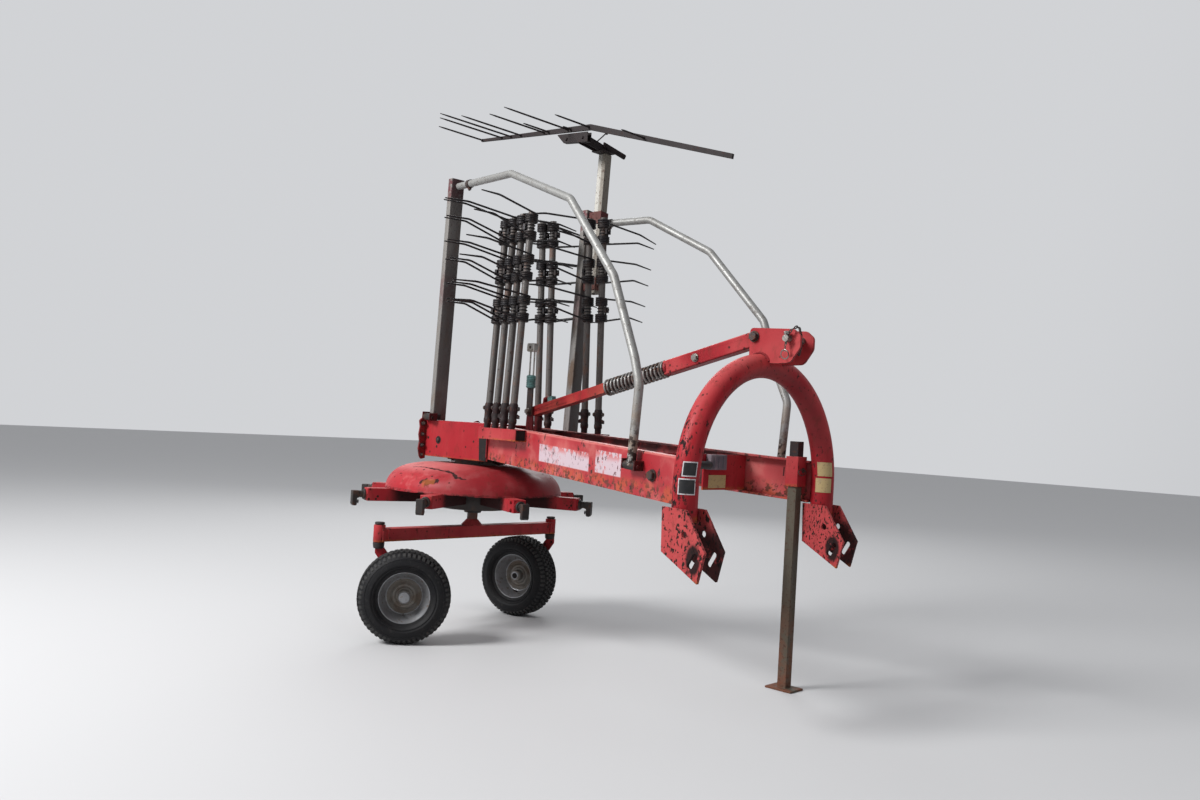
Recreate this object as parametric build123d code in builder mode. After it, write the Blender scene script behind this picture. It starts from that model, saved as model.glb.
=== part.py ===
from build123d import *
import os
from math import cos, hypot, radians, sin

# Mounted single-rotor hay rake, stored: tine arms drawn off the rotor and stood in racks on the
# frame, guards and swath comb folded up. Millimetres, +X forward, +Y to the left, +Z up,
# ground at Z = 0. The rotor axis stands at x = rotor_x, y = 0.

# Stations along the machine, measured from the rotor axis
rotor_x = -625.0
leg_ahead = 1650.0
box_rear = 210.0
box_ahead = 260.0
flare_ahead = box_ahead + 2.0
cross_plate_ahead = 1320.0
stay_foot_ahead = 400.0
stand_ahead = 1572.0

# Rear box over the rotor
box_width = 300.0
box_floor_z = 802.0
box_height = 174.0
sheet = 8.0

# Side members, flaring from the rear box to the headstock
flare_end_ahead = 1606.0
flare_end_y = 418.0
member_top_rear = 972.0
member_top_front = 905.0
member_depth_rear = 158.0
member_depth_front = 164.0
flange_width = 38.0

# Headstock: one bent tube with link plates and a mast bracket
tube_r = 44.5
tube_wall = 4.0
leg_y = 430.0
arch_centre_z = 820.0
leg_foot_z = 690.0
link_plate = 12.0
link_hole_r = 11.2
link_hole_ahead = 1700.0
link_hole_z = 653.0
link_slot_ahead = 1740.0
link_slot_z = 572.0
link_slot_length = 58.0
link_slot_r = 10.0
mast_gap = 76.0
mast_plate = 10.0
mast_pin_r = 12.5
mast_pin_ahead = 1775.0
mast_pin_z = 1345.0
mast_pin_length = 150.0
stay_bolt_ahead = 1624.0
stay_bolt_z = 1356.0
stay_bolt_r = 9.0

# Sprung stay from the mast bracket down to the frame
stay_foot_z = 1042.0
stay_front_length = 465.0
stay_front_height = 58.0
stay_front_width = 50.0
stay_rear_height = 42.0
stay_wall = 4.0
spring_r = 31.0
spring_wire = 8.0
spring_length = 338.0
lock_top_z = 1350.0
lock_head = 38.0
lock_rods = 106.0
lock_rod_r = 4.0
lock_grip_length = 60.0
lock_grip_r = 22.0
lock_plate = 8.0

# Rotor
cover_r = 415.0
cover_rim_z = 652.0
cover_top_z = 778.0
cover_shoulder_z = 735.0
cover_mouth_r = 120.0
cover_sheet = 4.0
arm_count = 8
first_arm_angle = -16.5
holder_width = 58.0
holder_z = cover_rim_z - holder_width / 2
holder_tip_r = 528.0
holder_root_r = 150.0
claw_shaft_r = 16.0
claw_tip_r = 592.0
hub_r = 158.0
hub_floor_z = 566.0
shaft_r = 25.0
shaft_gap = 0.05

# Running gear
track = 1040.0
bar_top_z = 484.0
bar_height = 57.0
bar_width = 60.0
sleeve_r = 26.0
sleeve_top_z = 500.0
sleeve_foot_z = 424.0
pivot_r = 14.0
pivot_gap = 0.05
trail = 125.0
wheel_inset = 80.0
tyre_r = 202.0
tyre_width = 160.0
tyre_shoulder = 12.0
rim_r = 118.0
axle_r = 14.0
leg_thick = 12.0
leg_out = 18.0
hub_half = 42.0
right_castor_angle = 55.0
left_castor_angle = 195.0

# Parking stand
stand_y = 352.0
stand_tube = 40.0
stand_wall = 4.0
stand_top_z = 980.0
foot_length = 120.0
foot_width = 90.0
foot_thick = 8.0
stand_sleeve_foot_z = 800.0
stand_sleeve_height = 120.0
stand_sleeve_wall = 8.0
slide_gap = 0.5

# Cut-out for the drive shaft in the cross plate, and the rest for the shaft beside it
shaft_cut_width = 150.0
shaft_cut_height = 100.0
shaft_rest_y = 138.0
shaft_rest_width = 104.0
shaft_rest_height = 60.0
shaft_rest_depth = 30.0
shaft_rest_top = 908.0
shaft_grip_r = 16.0
shaft_grip_length = 104.0

# Tine arms standing in the racks
rack_width = 54.0
rack_height = 50.0
rack_wall = 4.0
rack_spacer = 20.0
rack_top_z = 958.0
arm_tube_r = 15.5
arm_foot_r = 19.0
arm_foot_length = 112.0
arm_length = 952.0
arm_lean = 2.5
left_arm_lift = 45.0
coil_r = 29.0
coil_length = 42.0
coil_inset = 27.0
coil_gap = 78.0
pair_pitch = 180.0
tine_r = 4.5
tine_reach = 278.0
tine_tip = 124.0
tine_rise = 8.0
tine_kink = 12.0
left_top_rise = 0.0

# Guards: a rectangular post and a bent round tube, folding about a line through their two feet
guard_tube_r = 16.85
post_width = 70.0
post_depth = 40.0
post_wall = 3.0
hinge_r = 8.0
hinge_gap = 0.05
barrel_r = 16.0
barrel_half = 31.0
ear_gap = 1.0
ear_thick = 6.0
ear_reach = {("right", 0): 26.0, ("right", 1): 34.0, ("left", 0): 48.0, ("left", 1): 34.0}

# Swath comb on its telescopic pole
pole = 45.0
pole_wall = 4.0
comb_bar = 34.0
comb_bar_thick = 12.0
comb_y = 200.0
comb_tine_r = 4.0
pole_set = 72.0
pole_low = 700.0
pole_sleeve_wall = 5.0
pole_sleeve_length = 60.0
pole_sleeve_heights = (715.0, 1040.0)
pole_high = 1387.0
channel = 44.0
carrier_reach = 210.0
carrier_arm = 196.0
carrier_arm_thick = 12.0
carrier_eye_r = 8.0

leg_x = rotor_x + leg_ahead
os.makedirs("parts", exist_ok=True)

# Headstock arch: one bent tube, open at the two feet
with BuildPart() as arch:
    with BuildLine() as arch_line:
        right_leg = Line((leg_x, -leg_y, leg_foot_z), (leg_x, -leg_y, arch_centre_z))
        crown = ThreePointArc((leg_x, -leg_y, arch_centre_z), (leg_x, 0, arch_centre_z + leg_y),
                              (leg_x, leg_y, arch_centre_z))
        Line((leg_x, leg_y, arch_centre_z), (leg_x, leg_y, leg_foot_z))
    with BuildSketch(Plane(origin=(leg_x, -leg_y, leg_foot_z), z_dir=(0, 0, 1))):
        Circle(tube_r)
        Circle(tube_r - tube_wall, mode=Mode.SUBTRACT)
    sweep()
arch.part.label = "headstock_arch"
export_step(arch.part, "parts/headstock_arch.step")

# Link plates: two on each leg, holding the lower link between them
plate_outline = [(leg_x - 52, 738), (leg_x - 46, 588), (leg_x + 112, 500), (leg_x + 138, 604),
                 (leg_x + 52, 735)]
leg_sides = [("right", -1), ("left", 1)]
for side_name, side in leg_sides:
    with BuildPart() as link_plates:
        for face_y in (side * (leg_y + tube_r), side * (leg_y - tube_r) - side * link_plate):
            start_y = max(face_y, face_y + side * link_plate)
            with BuildSketch(Plane.XZ.offset(-start_y)):
                with BuildLine():
                    Polyline(plate_outline, close=True)
                make_face()
                with Locations((rotor_x + link_hole_ahead, link_hole_z)):
                    Circle(link_hole_r, mode=Mode.SUBTRACT)
                with Locations((rotor_x + link_slot_ahead, link_slot_z)):
                    SlotOverall(link_slot_length, 2 * link_slot_r, rotation=60, mode=Mode.SUBTRACT)
            extrude(amount=link_plate)
    link_plates.part.label = "link_plates_" + side_name
    export_step(link_plates.part, "parts/link_plates_" + side_name + ".step")

# Mast bracket: two plates saddled on the crown of the arch
mast_outline = [(leg_x - 48, 1388), (leg_x - 44, 1262), (leg_x + 84, 1258), (leg_x + 166, 1318),
                (leg_x + 172, 1350), (leg_x + 132, 1376)]
with BuildPart() as mast:
    for start_y in (mast_gap / 2 + mast_plate, -mast_gap / 2):
        with BuildSketch(Plane.XZ.offset(-start_y)):
            with BuildLine():
                Polyline(mast_outline, close=True)
            make_face()
            with Locations((rotor_x + mast_pin_ahead, mast_pin_z)):
                Circle(mast_pin_r, mode=Mode.SUBTRACT)
            with Locations((rotor_x + stay_bolt_ahead, stay_bolt_z)):
                Circle(stay_bolt_r, mode=Mode.SUBTRACT)
        extrude(amount=mast_plate)
    with BuildSketch(Plane(origin=(leg_x, 0, arch_centre_z + leg_y), z_dir=(0, 1, 0))):
        Circle(tube_r)
    extrude(amount=mast_gap, both=True, mode=Mode.SUBTRACT)
mast.part.label = "mast_plates"
export_step(mast.part, "parts/mast_plates.step")

# Mast pins: the top link pin with its shoulder, and the bolt that carries the stay
with BuildPart() as mast_pins:
    with BuildSketch(Plane.XZ.offset(mast_pin_length / 2)):
        with Locations((rotor_x + mast_pin_ahead, mast_pin_z)):
            Circle(mast_pin_r)
    extrude(amount=-mast_pin_length)
    with BuildSketch(Plane.XZ.offset(-mast_gap / 2 - mast_plate - 8)):
        with Locations((rotor_x + mast_pin_ahead, mast_pin_z)):
            Circle(mast_pin_r + 7)
    extrude(amount=8)
    with BuildSketch(Plane.XZ.offset(mast_gap / 2 + mast_plate + 9)):
        with Locations((rotor_x + stay_bolt_ahead, stay_bolt_z)):
            Circle(stay_bolt_r)
    extrude(amount=-mast_gap - 2 * mast_plate - 18)
mast_pins.part.label = "mast_pins"
export_step(mast_pins.part, "parts/mast_pins.step")

# Sprung stay: front tube on the mast bolt, spring, rear tube down to the frame
stay_run = rotor_x + stay_bolt_ahead - (rotor_x + stay_foot_ahead)
stay_rise = stay_bolt_z - stay_foot_z
stay_dir = Vector(stay_run, 0, stay_rise).normalized()
stay_length = hypot(stay_run, stay_rise)
stay_head = Vector(rotor_x + stay_bolt_ahead, 0, stay_bolt_z)
stay_foot = Vector(rotor_x + stay_foot_ahead, 0, stay_foot_z)
with BuildPart() as stay_front:
    with BuildSketch(Plane(origin=stay_head + stay_dir * 24, x_dir=(0, 1, 0), z_dir=-stay_dir)):
        RectangleRounded(stay_front_width, stay_front_height, 6)
        RectangleRounded(stay_front_width - 2 * stay_wall, stay_front_height - 2 * stay_wall, 3,
                         mode=Mode.SUBTRACT)
    extrude(amount=stay_front_length + 24)
    with BuildSketch(Plane.XZ):
        with Locations((stay_head.X, stay_head.Z)):
            Circle(stay_bolt_r)
    extrude(amount=mast_gap, both=True, mode=Mode.SUBTRACT)
stay_front.part.label = "stay_front_tube"
export_step(stay_front.part, "parts/stay_front_tube.step")

spring_rear = stay_head - stay_dir * (stay_front_length + spring_length)
with BuildPart() as spring:
    with BuildSketch(Plane(origin=spring_rear, x_dir=(0, 1, 0), z_dir=stay_dir)):
        Circle(spring_r)
        Circle(spring_r - spring_wire, mode=Mode.SUBTRACT)
    extrude(amount=spring_length)
spring.part.label = "stay_spring"
export_step(spring.part, "parts/stay_spring.step")

with BuildPart() as stay_rear:
    with BuildSketch(Plane(origin=stay_foot, x_dir=(0, 1, 0), z_dir=stay_dir)):
        Rectangle(stay_rear_height * 0.72, stay_rear_height * 0.72)
    extrude(amount=stay_length - stay_front_length)
    with BuildSketch(Plane(origin=stay_foot, x_dir=(0, 1, 0), z_dir=stay_dir)):
        Rectangle(stay_rear_height, stay_rear_height)
    extrude(amount=stay_length - stay_front_length - spring_length)
    with BuildSketch(Plane.XZ):
        with Locations((stay_foot.X, stay_foot.Z)):
            Circle(stay_bolt_r)
    extrude(amount=mast_gap, both=True, mode=Mode.SUBTRACT)
stay_rear.part.label = "stay_rear_tube"
export_step(stay_rear.part, "parts/stay_rear_tube.step")

# Rear box over the rotor, open underneath and in front
with BuildPart() as rear_box:
    with BuildSketch(Plane.XY.offset(box_floor_z)):
        with Locations((rotor_x + (box_ahead - box_rear) / 2, 0)):
            Rectangle(box_ahead + box_rear, box_width)
    extrude(amount=box_height)
    with BuildSketch(Plane.XY.offset(box_floor_z)):
        with Locations((rotor_x + (box_ahead - box_rear) / 2 + sheet, 0)):
            Rectangle(box_ahead + box_rear, box_width - 2 * sheet)
    extrude(amount=box_height - sheet, mode=Mode.SUBTRACT)
rear_box.part.label = "rear_box"
export_step(rear_box.part, "parts/rear_box.step")

# Side members: flanged plates that flare from inside the rear box to the arch legs
flare_y = box_width / 2 - sheet
flare_run = flare_end_ahead - flare_ahead
flare_spread = flare_end_y - flare_y
flare_length = hypot(flare_run, flare_spread)
flare_dir = Vector(flare_run, -flare_spread, 0).normalized()
flare_out = Vector(-flare_spread, -flare_run, 0).normalized()
flare_start = Vector(rotor_x + flare_ahead, -flare_y, 0)
flare_plane = Plane(origin=flare_start, x_dir=flare_dir, z_dir=flare_out)
member_foot_rear = member_top_rear - member_depth_rear
member_foot_front = member_top_front - member_depth_front
with BuildPart() as right_member:
    with BuildSketch(flare_plane.offset(-sheet / 2)):
        with BuildLine():
            Polyline((0, member_foot_rear), (flare_length, member_foot_front),
                     (flare_length, member_top_front), (0, member_top_rear), close=True)
        make_face()
    extrude(amount=sheet)
    with BuildSketch(flare_plane.offset(-sheet / 2)):
        with BuildLine():
            Polyline((0, member_foot_rear), (flare_length, member_foot_front),
                     (flare_length, member_foot_front + sheet), (0, member_foot_rear + sheet),
                     close=True)
        make_face()
        with BuildLine():
            Polyline((0, member_top_rear - sheet), (flare_length, member_top_front - sheet),
                     (flare_length, member_top_front), (0, member_top_rear), close=True)
        make_face()
    extrude(amount=-flange_width)
    # tab that lies inside the box wall
    with BuildSketch(Plane.XY.offset(member_foot_rear + 12)):
        with Locations((rotor_x + flare_ahead - 70, -flare_y + sheet / 2)):
            Rectangle(150, sheet)
    extrude(amount=member_depth_rear - 34)
    add(arch.part, mode=Mode.SUBTRACT)
stand_x = rotor_x + stand_ahead
sleeve_out = stand_tube / 2 + slide_gap + stand_sleeve_wall
with BuildPart() as left_member:
    add(mirror(right_member.part, about=Plane.XZ))
    with BuildSketch(Plane.XY.offset(member_foot_front - 20)):
        with Locations((stand_x, stand_y)):
            Rectangle(2 * sleeve_out, 2 * sleeve_out)
    extrude(amount=member_depth_rear + 120, mode=Mode.SUBTRACT)
right_member.part.label = "side_member_right"
left_member.part.label = "side_member_left"
export_step(right_member.part, "parts/side_member_right.step")
export_step(left_member.part, "parts/side_member_left.step")

# Cross plate between the side members, with the drive-shaft cut-out
share = (cross_plate_ahead - flare_ahead) / flare_run
cross_half = flare_y + flare_spread * share - sheet / 2 - 1.0
cross_top = member_top_rear + (member_top_front - member_top_rear) * share - sheet - 2
cross_foot = member_foot_rear + (member_foot_front - member_foot_rear) * share + sheet + 2
with BuildPart() as cross_plate:
    with BuildSketch(Plane.YZ.offset(rotor_x + cross_plate_ahead)):
        with Locations((0, (cross_top + cross_foot) / 2)):
            Rectangle(2 * cross_half, cross_top - cross_foot)
        with Locations((0, cross_foot)):
            Rectangle(shaft_cut_width, 2 * shaft_cut_height, mode=Mode.SUBTRACT)
    extrude(amount=sheet)
    # notch where the stand passes, if the plate comes near it
    with BuildSketch(Plane.XY.offset(cross_foot - 1)):
        with Locations((stand_x, stand_y)):
            Rectangle(2 * sleeve_out + 2, 2 * sleeve_out + 2)
    extrude(amount=cross_top - cross_foot + 2, mode=Mode.SUBTRACT)
cross_plate.part.label = "cross_plate"
export_step(cross_plate.part, "parts/cross_plate.step")

# Rest for the drive shaft: a block on the front of the cross plate with a round grip
rest_face = rotor_x + cross_plate_ahead + sheet
with BuildPart() as shaft_rest:
    with BuildSketch(Plane.YZ.offset(rest_face)):
        with Locations((shaft_rest_y, shaft_rest_top - shaft_rest_height / 2)):
            RectangleRounded(shaft_rest_width, shaft_rest_height, 8)
    extrude(amount=shaft_rest_depth)
    with BuildSketch(Plane.XZ.offset(-shaft_rest_y + shaft_rest_width / 2)):
        with Locations((rest_face + shaft_grip_r + 2, shaft_rest_top - shaft_rest_height * 0.7)):
            Circle(shaft_grip_r)
    extrude(amount=shaft_grip_length)
shaft_rest.part.label = "shaft_rest"
export_step(shaft_rest.part, "parts/shaft_rest.step")

# Cross tube that carries the foot of the stay, with two lugs
foot_share = (stay_foot_ahead - flare_ahead) / flare_run
tie_half = flare_y + flare_spread * foot_share
tie_top = member_top_rear + (member_top_front - member_top_rear) * foot_share - sheet - 6.0
with BuildPart() as stay_tie:
    with BuildSketch(Plane.XZ.offset(tie_half)):
        with Locations((rotor_x + stay_foot_ahead, tie_top - 25)):
            Rectangle(36, 50)
            Rectangle(28, 42, mode=Mode.SUBTRACT)
    extrude(amount=-2 * tie_half)
    add(right_member.part, mode=Mode.SUBTRACT)
    add(left_member.part, mode=Mode.SUBTRACT)
    for start_y in (stay_rear_height / 2 + sheet + 1, -stay_rear_height / 2 - 1):
        with BuildSketch(Plane.XZ.offset(-start_y)):
            with BuildLine():
                Polyline((stay_foot.X - 24, tie_top), (stay_foot.X + 24, tie_top),
                         (stay_foot.X + 18, stay_foot_z + 20), (stay_foot.X - 18, stay_foot_z + 20),
                         close=True)
            make_face()
        extrude(amount=sheet)
    with BuildSketch(Plane.XZ.offset(stay_rear_height)):
        with Locations((stay_foot.X, stay_foot.Z)):
            Circle(stay_bolt_r)
    extrude(amount=-2 * stay_rear_height)
stay_tie.part.label = "stay_tie"
export_step(stay_tie.part, "parts/stay_tie.step")

# Lock lever beside the foot of the stay: bracket, grip, two thin rods and a holed head
lock_y = -stay_rear_height / 2 - 1 - sheet
with BuildPart() as stay_lock:
    with BuildSketch(Plane.XZ.offset(-lock_y)):
        with Locations((stay_foot.X, lock_top_z - lock_head - lock_rods - lock_grip_length - 60)):
            Rectangle(34, 120)
        with Locations((stay_foot.X, stay_foot.Z)):
            Circle(stay_bolt_r, mode=Mode.SUBTRACT)
    extrude(amount=lock_plate)
    with BuildSketch(Plane.XY.offset(lock_top_z - lock_head - lock_rods - lock_grip_length - 2)):
        with Locations((stay_foot.X, lock_y - lock_plate / 2)):
            Circle(lock_grip_r)
    extrude(amount=lock_grip_length + 2)
    with BuildSketch(Plane.XY.offset(lock_top_z - lock_head - lock_rods - 1)):
        with Locations((stay_foot.X - 13, lock_y - 4), (stay_foot.X + 13, lock_y - 4)):
            Circle(lock_rod_r)
    extrude(amount=lock_rods + 2)
    with BuildSketch(Plane.XZ.offset(-lock_y - 9)):
        with Locations((stay_foot.X, lock_top_z - lock_head / 2)):
            RectangleRounded(48, lock_head, 6)
            Circle(6, mode=Mode.SUBTRACT)
    extrude(amount=26)
stay_lock.part.label = "stay_lock"
export_step(stay_lock.part, "parts/stay_lock.step")

# Gearbox under the box roof, with its drive stub pointing forward
gearbox_half = 105.0
drive_z = 816.0
drive_flange_r = 32.0
drive_r = 17.46
drive_length = 90.0
neck_r = 100.0
with BuildPart() as gearbox:
    with BuildSketch(Plane.XY.offset(box_floor_z - 8)):
        with Locations((rotor_x + 25, 0)):
            RectangleRounded(2 * gearbox_half + 50, 2 * gearbox_half, 30)
    extrude(amount=box_height - sheet + 8)
    with BuildSketch(Plane.XY.offset(hub_floor_z + 150)):
        with Locations((rotor_x, 0)):
            Circle(neck_r)
            Circle(shaft_r, mode=Mode.SUBTRACT)
    extrude(amount=box_floor_z - 8 - hub_floor_z - 150)
    with BuildSketch(Plane.YZ.offset(rotor_x + gearbox_half + 50)):
        with Locations((0, drive_z)):
            Circle(drive_flange_r)
    extrude(amount=40)
gearbox.part.label = "gearbox"
export_step(gearbox.part, "parts/gearbox.step")

with BuildPart() as drive_stub:
    with BuildSketch(Plane.YZ.offset(rotor_x + gearbox_half + 90)):
        with Locations((0, drive_z)):
            Circle(drive_r)
    extrude(amount=drive_length)
drive_stub.part.label = "drive_stub"
export_step(drive_stub.part, "parts/drive_stub.step")

# Rotor cover: a spun steel dome
with BuildPart() as cover:
    with BuildSketch(Plane.XZ):
        with BuildLine():
            outer_lip = Line((cover_r, cover_rim_z), (cover_r, cover_rim_z + 20))
            outer_arc = ThreePointArc((cover_r, cover_rim_z + 20), (cover_r * 0.74, cover_shoulder_z),
                                      (cover_mouth_r, cover_top_z))
            Line((cover_mouth_r, cover_top_z), (cover_mouth_r, cover_top_z - cover_sheet))
            ThreePointArc((cover_mouth_r, cover_top_z - cover_sheet),
                          (cover_r * 0.74 - 1.5, cover_shoulder_z - cover_sheet),
                          (cover_r - cover_sheet, cover_rim_z + 19))
            Line((cover_r - cover_sheet, cover_rim_z + 19), (cover_r - cover_sheet, cover_rim_z))
            Line((cover_r - cover_sheet, cover_rim_z), (cover_r, cover_rim_z))
        make_face()
    revolve(axis=Axis.Z)
cover_placed = cover.part.moved(Location((rotor_x, 0, 0)))
cover_placed.label = "rotor_cover"
export_step(cover_placed, "parts/rotor_cover.step")

# Rotor hub: the cam housing seen from below, with the eight arm holders welded round it
with BuildPart() as hub:
    with BuildSketch(Plane.XY.offset(hub_floor_z)):
        with Locations((rotor_x, 0)):
            Circle(hub_r)
    extrude(amount=cover_rim_z - hub_floor_z)
    with BuildSketch(Plane.XY.offset(hub_floor_z)):
        with Locations((rotor_x, 0)):
            Circle(shaft_r + shaft_gap)
    extrude(amount=200, mode=Mode.SUBTRACT)
hub.part.label = "rotor_hub"
export_step(hub.part, "parts/rotor_hub.step")

arm_angles = [first_arm_angle + index * 360 / arm_count for index in range(arm_count)]
with BuildPart() as holders:
    for angle in arm_angles:
        outward = Vector(cos(radians(angle)), sin(radians(angle)), 0)
        start = Vector(rotor_x, 0, holder_z) + outward * (hub_r - 10)
        with BuildSketch(Plane(origin=start, x_dir=(-outward.Y, outward.X, 0), z_dir=outward)):
            Rectangle(holder_width, holder_width)
        extrude(amount=holder_tip_r - hub_r + 10)
        with BuildSketch(Plane(origin=start, x_dir=(-outward.Y, outward.X, 0), z_dir=outward)):
            Circle(claw_shaft_r)
        extrude(amount=holder_tip_r - hub_r + 20, mode=Mode.SUBTRACT)
    add(hub.part, mode=Mode.SUBTRACT)
holders.part.label = "arm_holders"
export_step(holders.part, "parts/arm_holders.step")

with BuildPart() as claws:
    for angle in arm_angles:
        outward = Vector(cos(radians(angle)), sin(radians(angle)), 0)
        start = Vector(rotor_x, 0, holder_z) + outward * (hub_r - 10)
        with BuildSketch(Plane(origin=start, x_dir=(-outward.Y, outward.X, 0), z_dir=outward)):
            Circle(claw_shaft_r)
        extrude(amount=claw_tip_r - hub_r - 8)
        tip = Vector(rotor_x, 0, holder_z - 18) + outward * (claw_tip_r - 28)
        with BuildSketch(Plane(origin=tip, x_dir=(-outward.Y, outward.X, 0), z_dir=outward)):
            RectangleRounded(34, 68, 8)
        extrude(amount=28)
    add(hub.part, mode=Mode.SUBTRACT)
claws.part.label = "arm_claws"
export_step(claws.part, "parts/arm_claws.step")

# Main shaft down from the gearbox to the crossbar
with BuildPart() as main_shaft:
    with BuildSketch(Plane.XY.offset(bar_top_z)):
        with Locations((rotor_x, 0)):
            Circle(shaft_r)
    extrude(amount=box_floor_z - 8 - bar_top_z)
main_shaft.part.label = "main_shaft"
export_step(main_shaft.part, "parts/main_shaft.step")

# Crossbar with a castor sleeve at each end
bar_half = track / 2
with BuildPart() as crossbar:
    with BuildSketch(Plane.XZ.offset(bar_half)):
        with Locations((rotor_x, bar_top_z - bar_height / 2)):
            Rectangle(bar_width, bar_height)
    extrude(amount=-2 * bar_half)
    with BuildSketch(Plane.XY.offset(sleeve_foot_z)):
        with Locations((rotor_x, -bar_half), (rotor_x, bar_half)):
            Circle(sleeve_r)
    extrude(amount=sleeve_top_z - sleeve_foot_z)
    with BuildSketch(Plane.XY.offset(sleeve_foot_z - 1)):
        with Locations((rotor_x, -bar_half), (rotor_x, bar_half)):
            Circle(pivot_r + pivot_gap)
    extrude(amount=sleeve_top_z - sleeve_foot_z + 2, mode=Mode.SUBTRACT)
crossbar.part.label = "crossbar"
export_step(crossbar.part, "parts/crossbar.step")

# Castors: swivel pin, cranked leg and stub axle, then the rim and tyre
castors = [("right", -1, right_castor_angle), ("left", 1, left_castor_angle)]
for side_name, side, trail_angle in castors:
    trailing = Vector(cos(radians(trail_angle)), sin(radians(trail_angle)), 0)
    inward = Vector(-trailing.Y, trailing.X, 0) * side
    pivot = Vector(rotor_x, side * bar_half, 0)
    leg_plane = Plane(origin=pivot, x_dir=trailing, z_dir=Vector(trailing.Y, -trailing.X, 0))
    with BuildPart() as castor:
        with BuildSketch(Plane.XY.offset(sleeve_foot_z - 28)):
            with Locations((pivot.X, pivot.Y)):
                Circle(sleeve_r)
        extrude(amount=26)
        with BuildSketch(Plane.XY.offset(sleeve_foot_z - 4)):
            with Locations((pivot.X, pivot.Y)):
                Circle(pivot_r)
        extrude(amount=sleeve_top_z - sleeve_foot_z + 12)
        with BuildSketch(Plane.XY.offset(sleeve_top_z + 2)):
            with Locations((pivot.X, pivot.Y)):
                Circle(sleeve_r - 4)
        extrude(amount=10)
        with BuildSketch(leg_plane.offset(side * leg_out - leg_thick / 2)):
            with BuildLine():
                Polyline((-24, sleeve_foot_z - 4), (26, sleeve_foot_z - 4), (trail + 24, tyre_r + 8),
                         (trail + 20, tyre_r - 22), (trail - 20, tyre_r - 22),
                         (-24, sleeve_foot_z - 60), close=True)
            make_face()
        extrude(amount=leg_thick)
        axle_mid = pivot + trailing * trail + Vector(0, 0, tyre_r)
        with BuildSketch(Plane(origin=axle_mid - inward * leg_out, z_dir=inward)):
            Circle(axle_r)
        extrude(amount=leg_out + wheel_inset + hub_half - 4)
    castor.part.label = "castor_leg_" + side_name
    export_step(castor.part, "parts/castor_leg_" + side_name + ".step")

    wheel_mid = axle_mid + inward * wheel_inset
    wheel_plane = Plane(origin=wheel_mid, x_dir=trailing, z_dir=inward)
    half = tyre_width / 2
    with BuildPart() as tyre:
        with BuildSketch(Plane.XZ):
            with BuildLine():
                Polyline((rim_r - 8, -half * 0.72), (rim_r + 28, -half), (tyre_r - 30, -half),
                         (tyre_r - tyre_shoulder, -half * 0.78), (tyre_r, -half * 0.4), (tyre_r, half * 0.4),
                         (tyre_r - tyre_shoulder, half * 0.78), (tyre_r - 30, half), (rim_r + 28, half),
                         (rim_r - 8, half * 0.72), close=True)
            make_face()
        revolve(axis=Axis.Z)
    tyre_placed = tyre.part.moved(Location(wheel_plane))
    tyre_placed.label = "tyre_" + side_name
    export_step(tyre_placed, "parts/tyre_" + side_name + ".step")
    with BuildPart() as rim:
        with BuildSketch(Plane.XZ):
            with BuildLine():
                Polyline((axle_r + pivot_gap, -hub_half), (34, -hub_half), (34, -12), (88, -10),
                         (96, -half * 0.5), (rim_r - 8, -half * 0.72), (rim_r - 8, half * 0.72),
                         (96, half * 0.5), (88, 2), (34, 0), (34, hub_half - 8),
                         (axle_r + pivot_gap, hub_half - 8), close=True)
            make_face()
        revolve(axis=Axis.Z)
    rim_placed = rim.part.moved(Location(wheel_plane))
    rim_placed.label = "rim_" + side_name
    export_step(rim_placed, "parts/rim_" + side_name + ".step")

# Parking stand: sleeve on the left side member, square leg and foot plate
stand_share = (stand_ahead - flare_ahead) / flare_run
stand_wall_y = flare_y + flare_spread * stand_share - sheet / 2
with BuildPart() as stand_sleeve:
    with BuildSketch(Plane.XY.offset(stand_sleeve_foot_z)):
        with Locations((stand_x, stand_y)):
            Rectangle(2 * sleeve_out, 2 * sleeve_out)
        with Locations((stand_x, (stand_y + stand_wall_y) / 2 + 8)):
            Rectangle(2 * sleeve_out - 20, stand_wall_y - stand_y - 24)
    extrude(amount=stand_sleeve_height)
    with BuildSketch(Plane.XY.offset(stand_sleeve_foot_z)):
        with Locations((stand_x, stand_y)):
            Rectangle(stand_tube + 2 * slide_gap, stand_tube + 2 * slide_gap)
    extrude(amount=stand_sleeve_height, mode=Mode.SUBTRACT)
    add(left_member.part, mode=Mode.SUBTRACT)
    add(arch.part, mode=Mode.SUBTRACT)
stand_sleeve.part.label = "stand_sleeve"
export_step(stand_sleeve.part, "parts/stand_sleeve.step")

with BuildPart() as stand:
    with BuildSketch():
        with Locations((stand_x, stand_y)):
            Rectangle(foot_length, foot_width)
    extrude(amount=foot_thick)
    with BuildSketch(Plane.XY.offset(foot_thick)):
        with Locations((stand_x, stand_y)):
            Rectangle(stand_tube, stand_tube)
            Rectangle(stand_tube - 2 * stand_wall, stand_tube - 2 * stand_wall, mode=Mode.SUBTRACT)
    extrude(amount=stand_top_z - foot_thick)
stand.part.label = "stand_leg"
export_step(stand.part, "parts/stand_leg.step")

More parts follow.
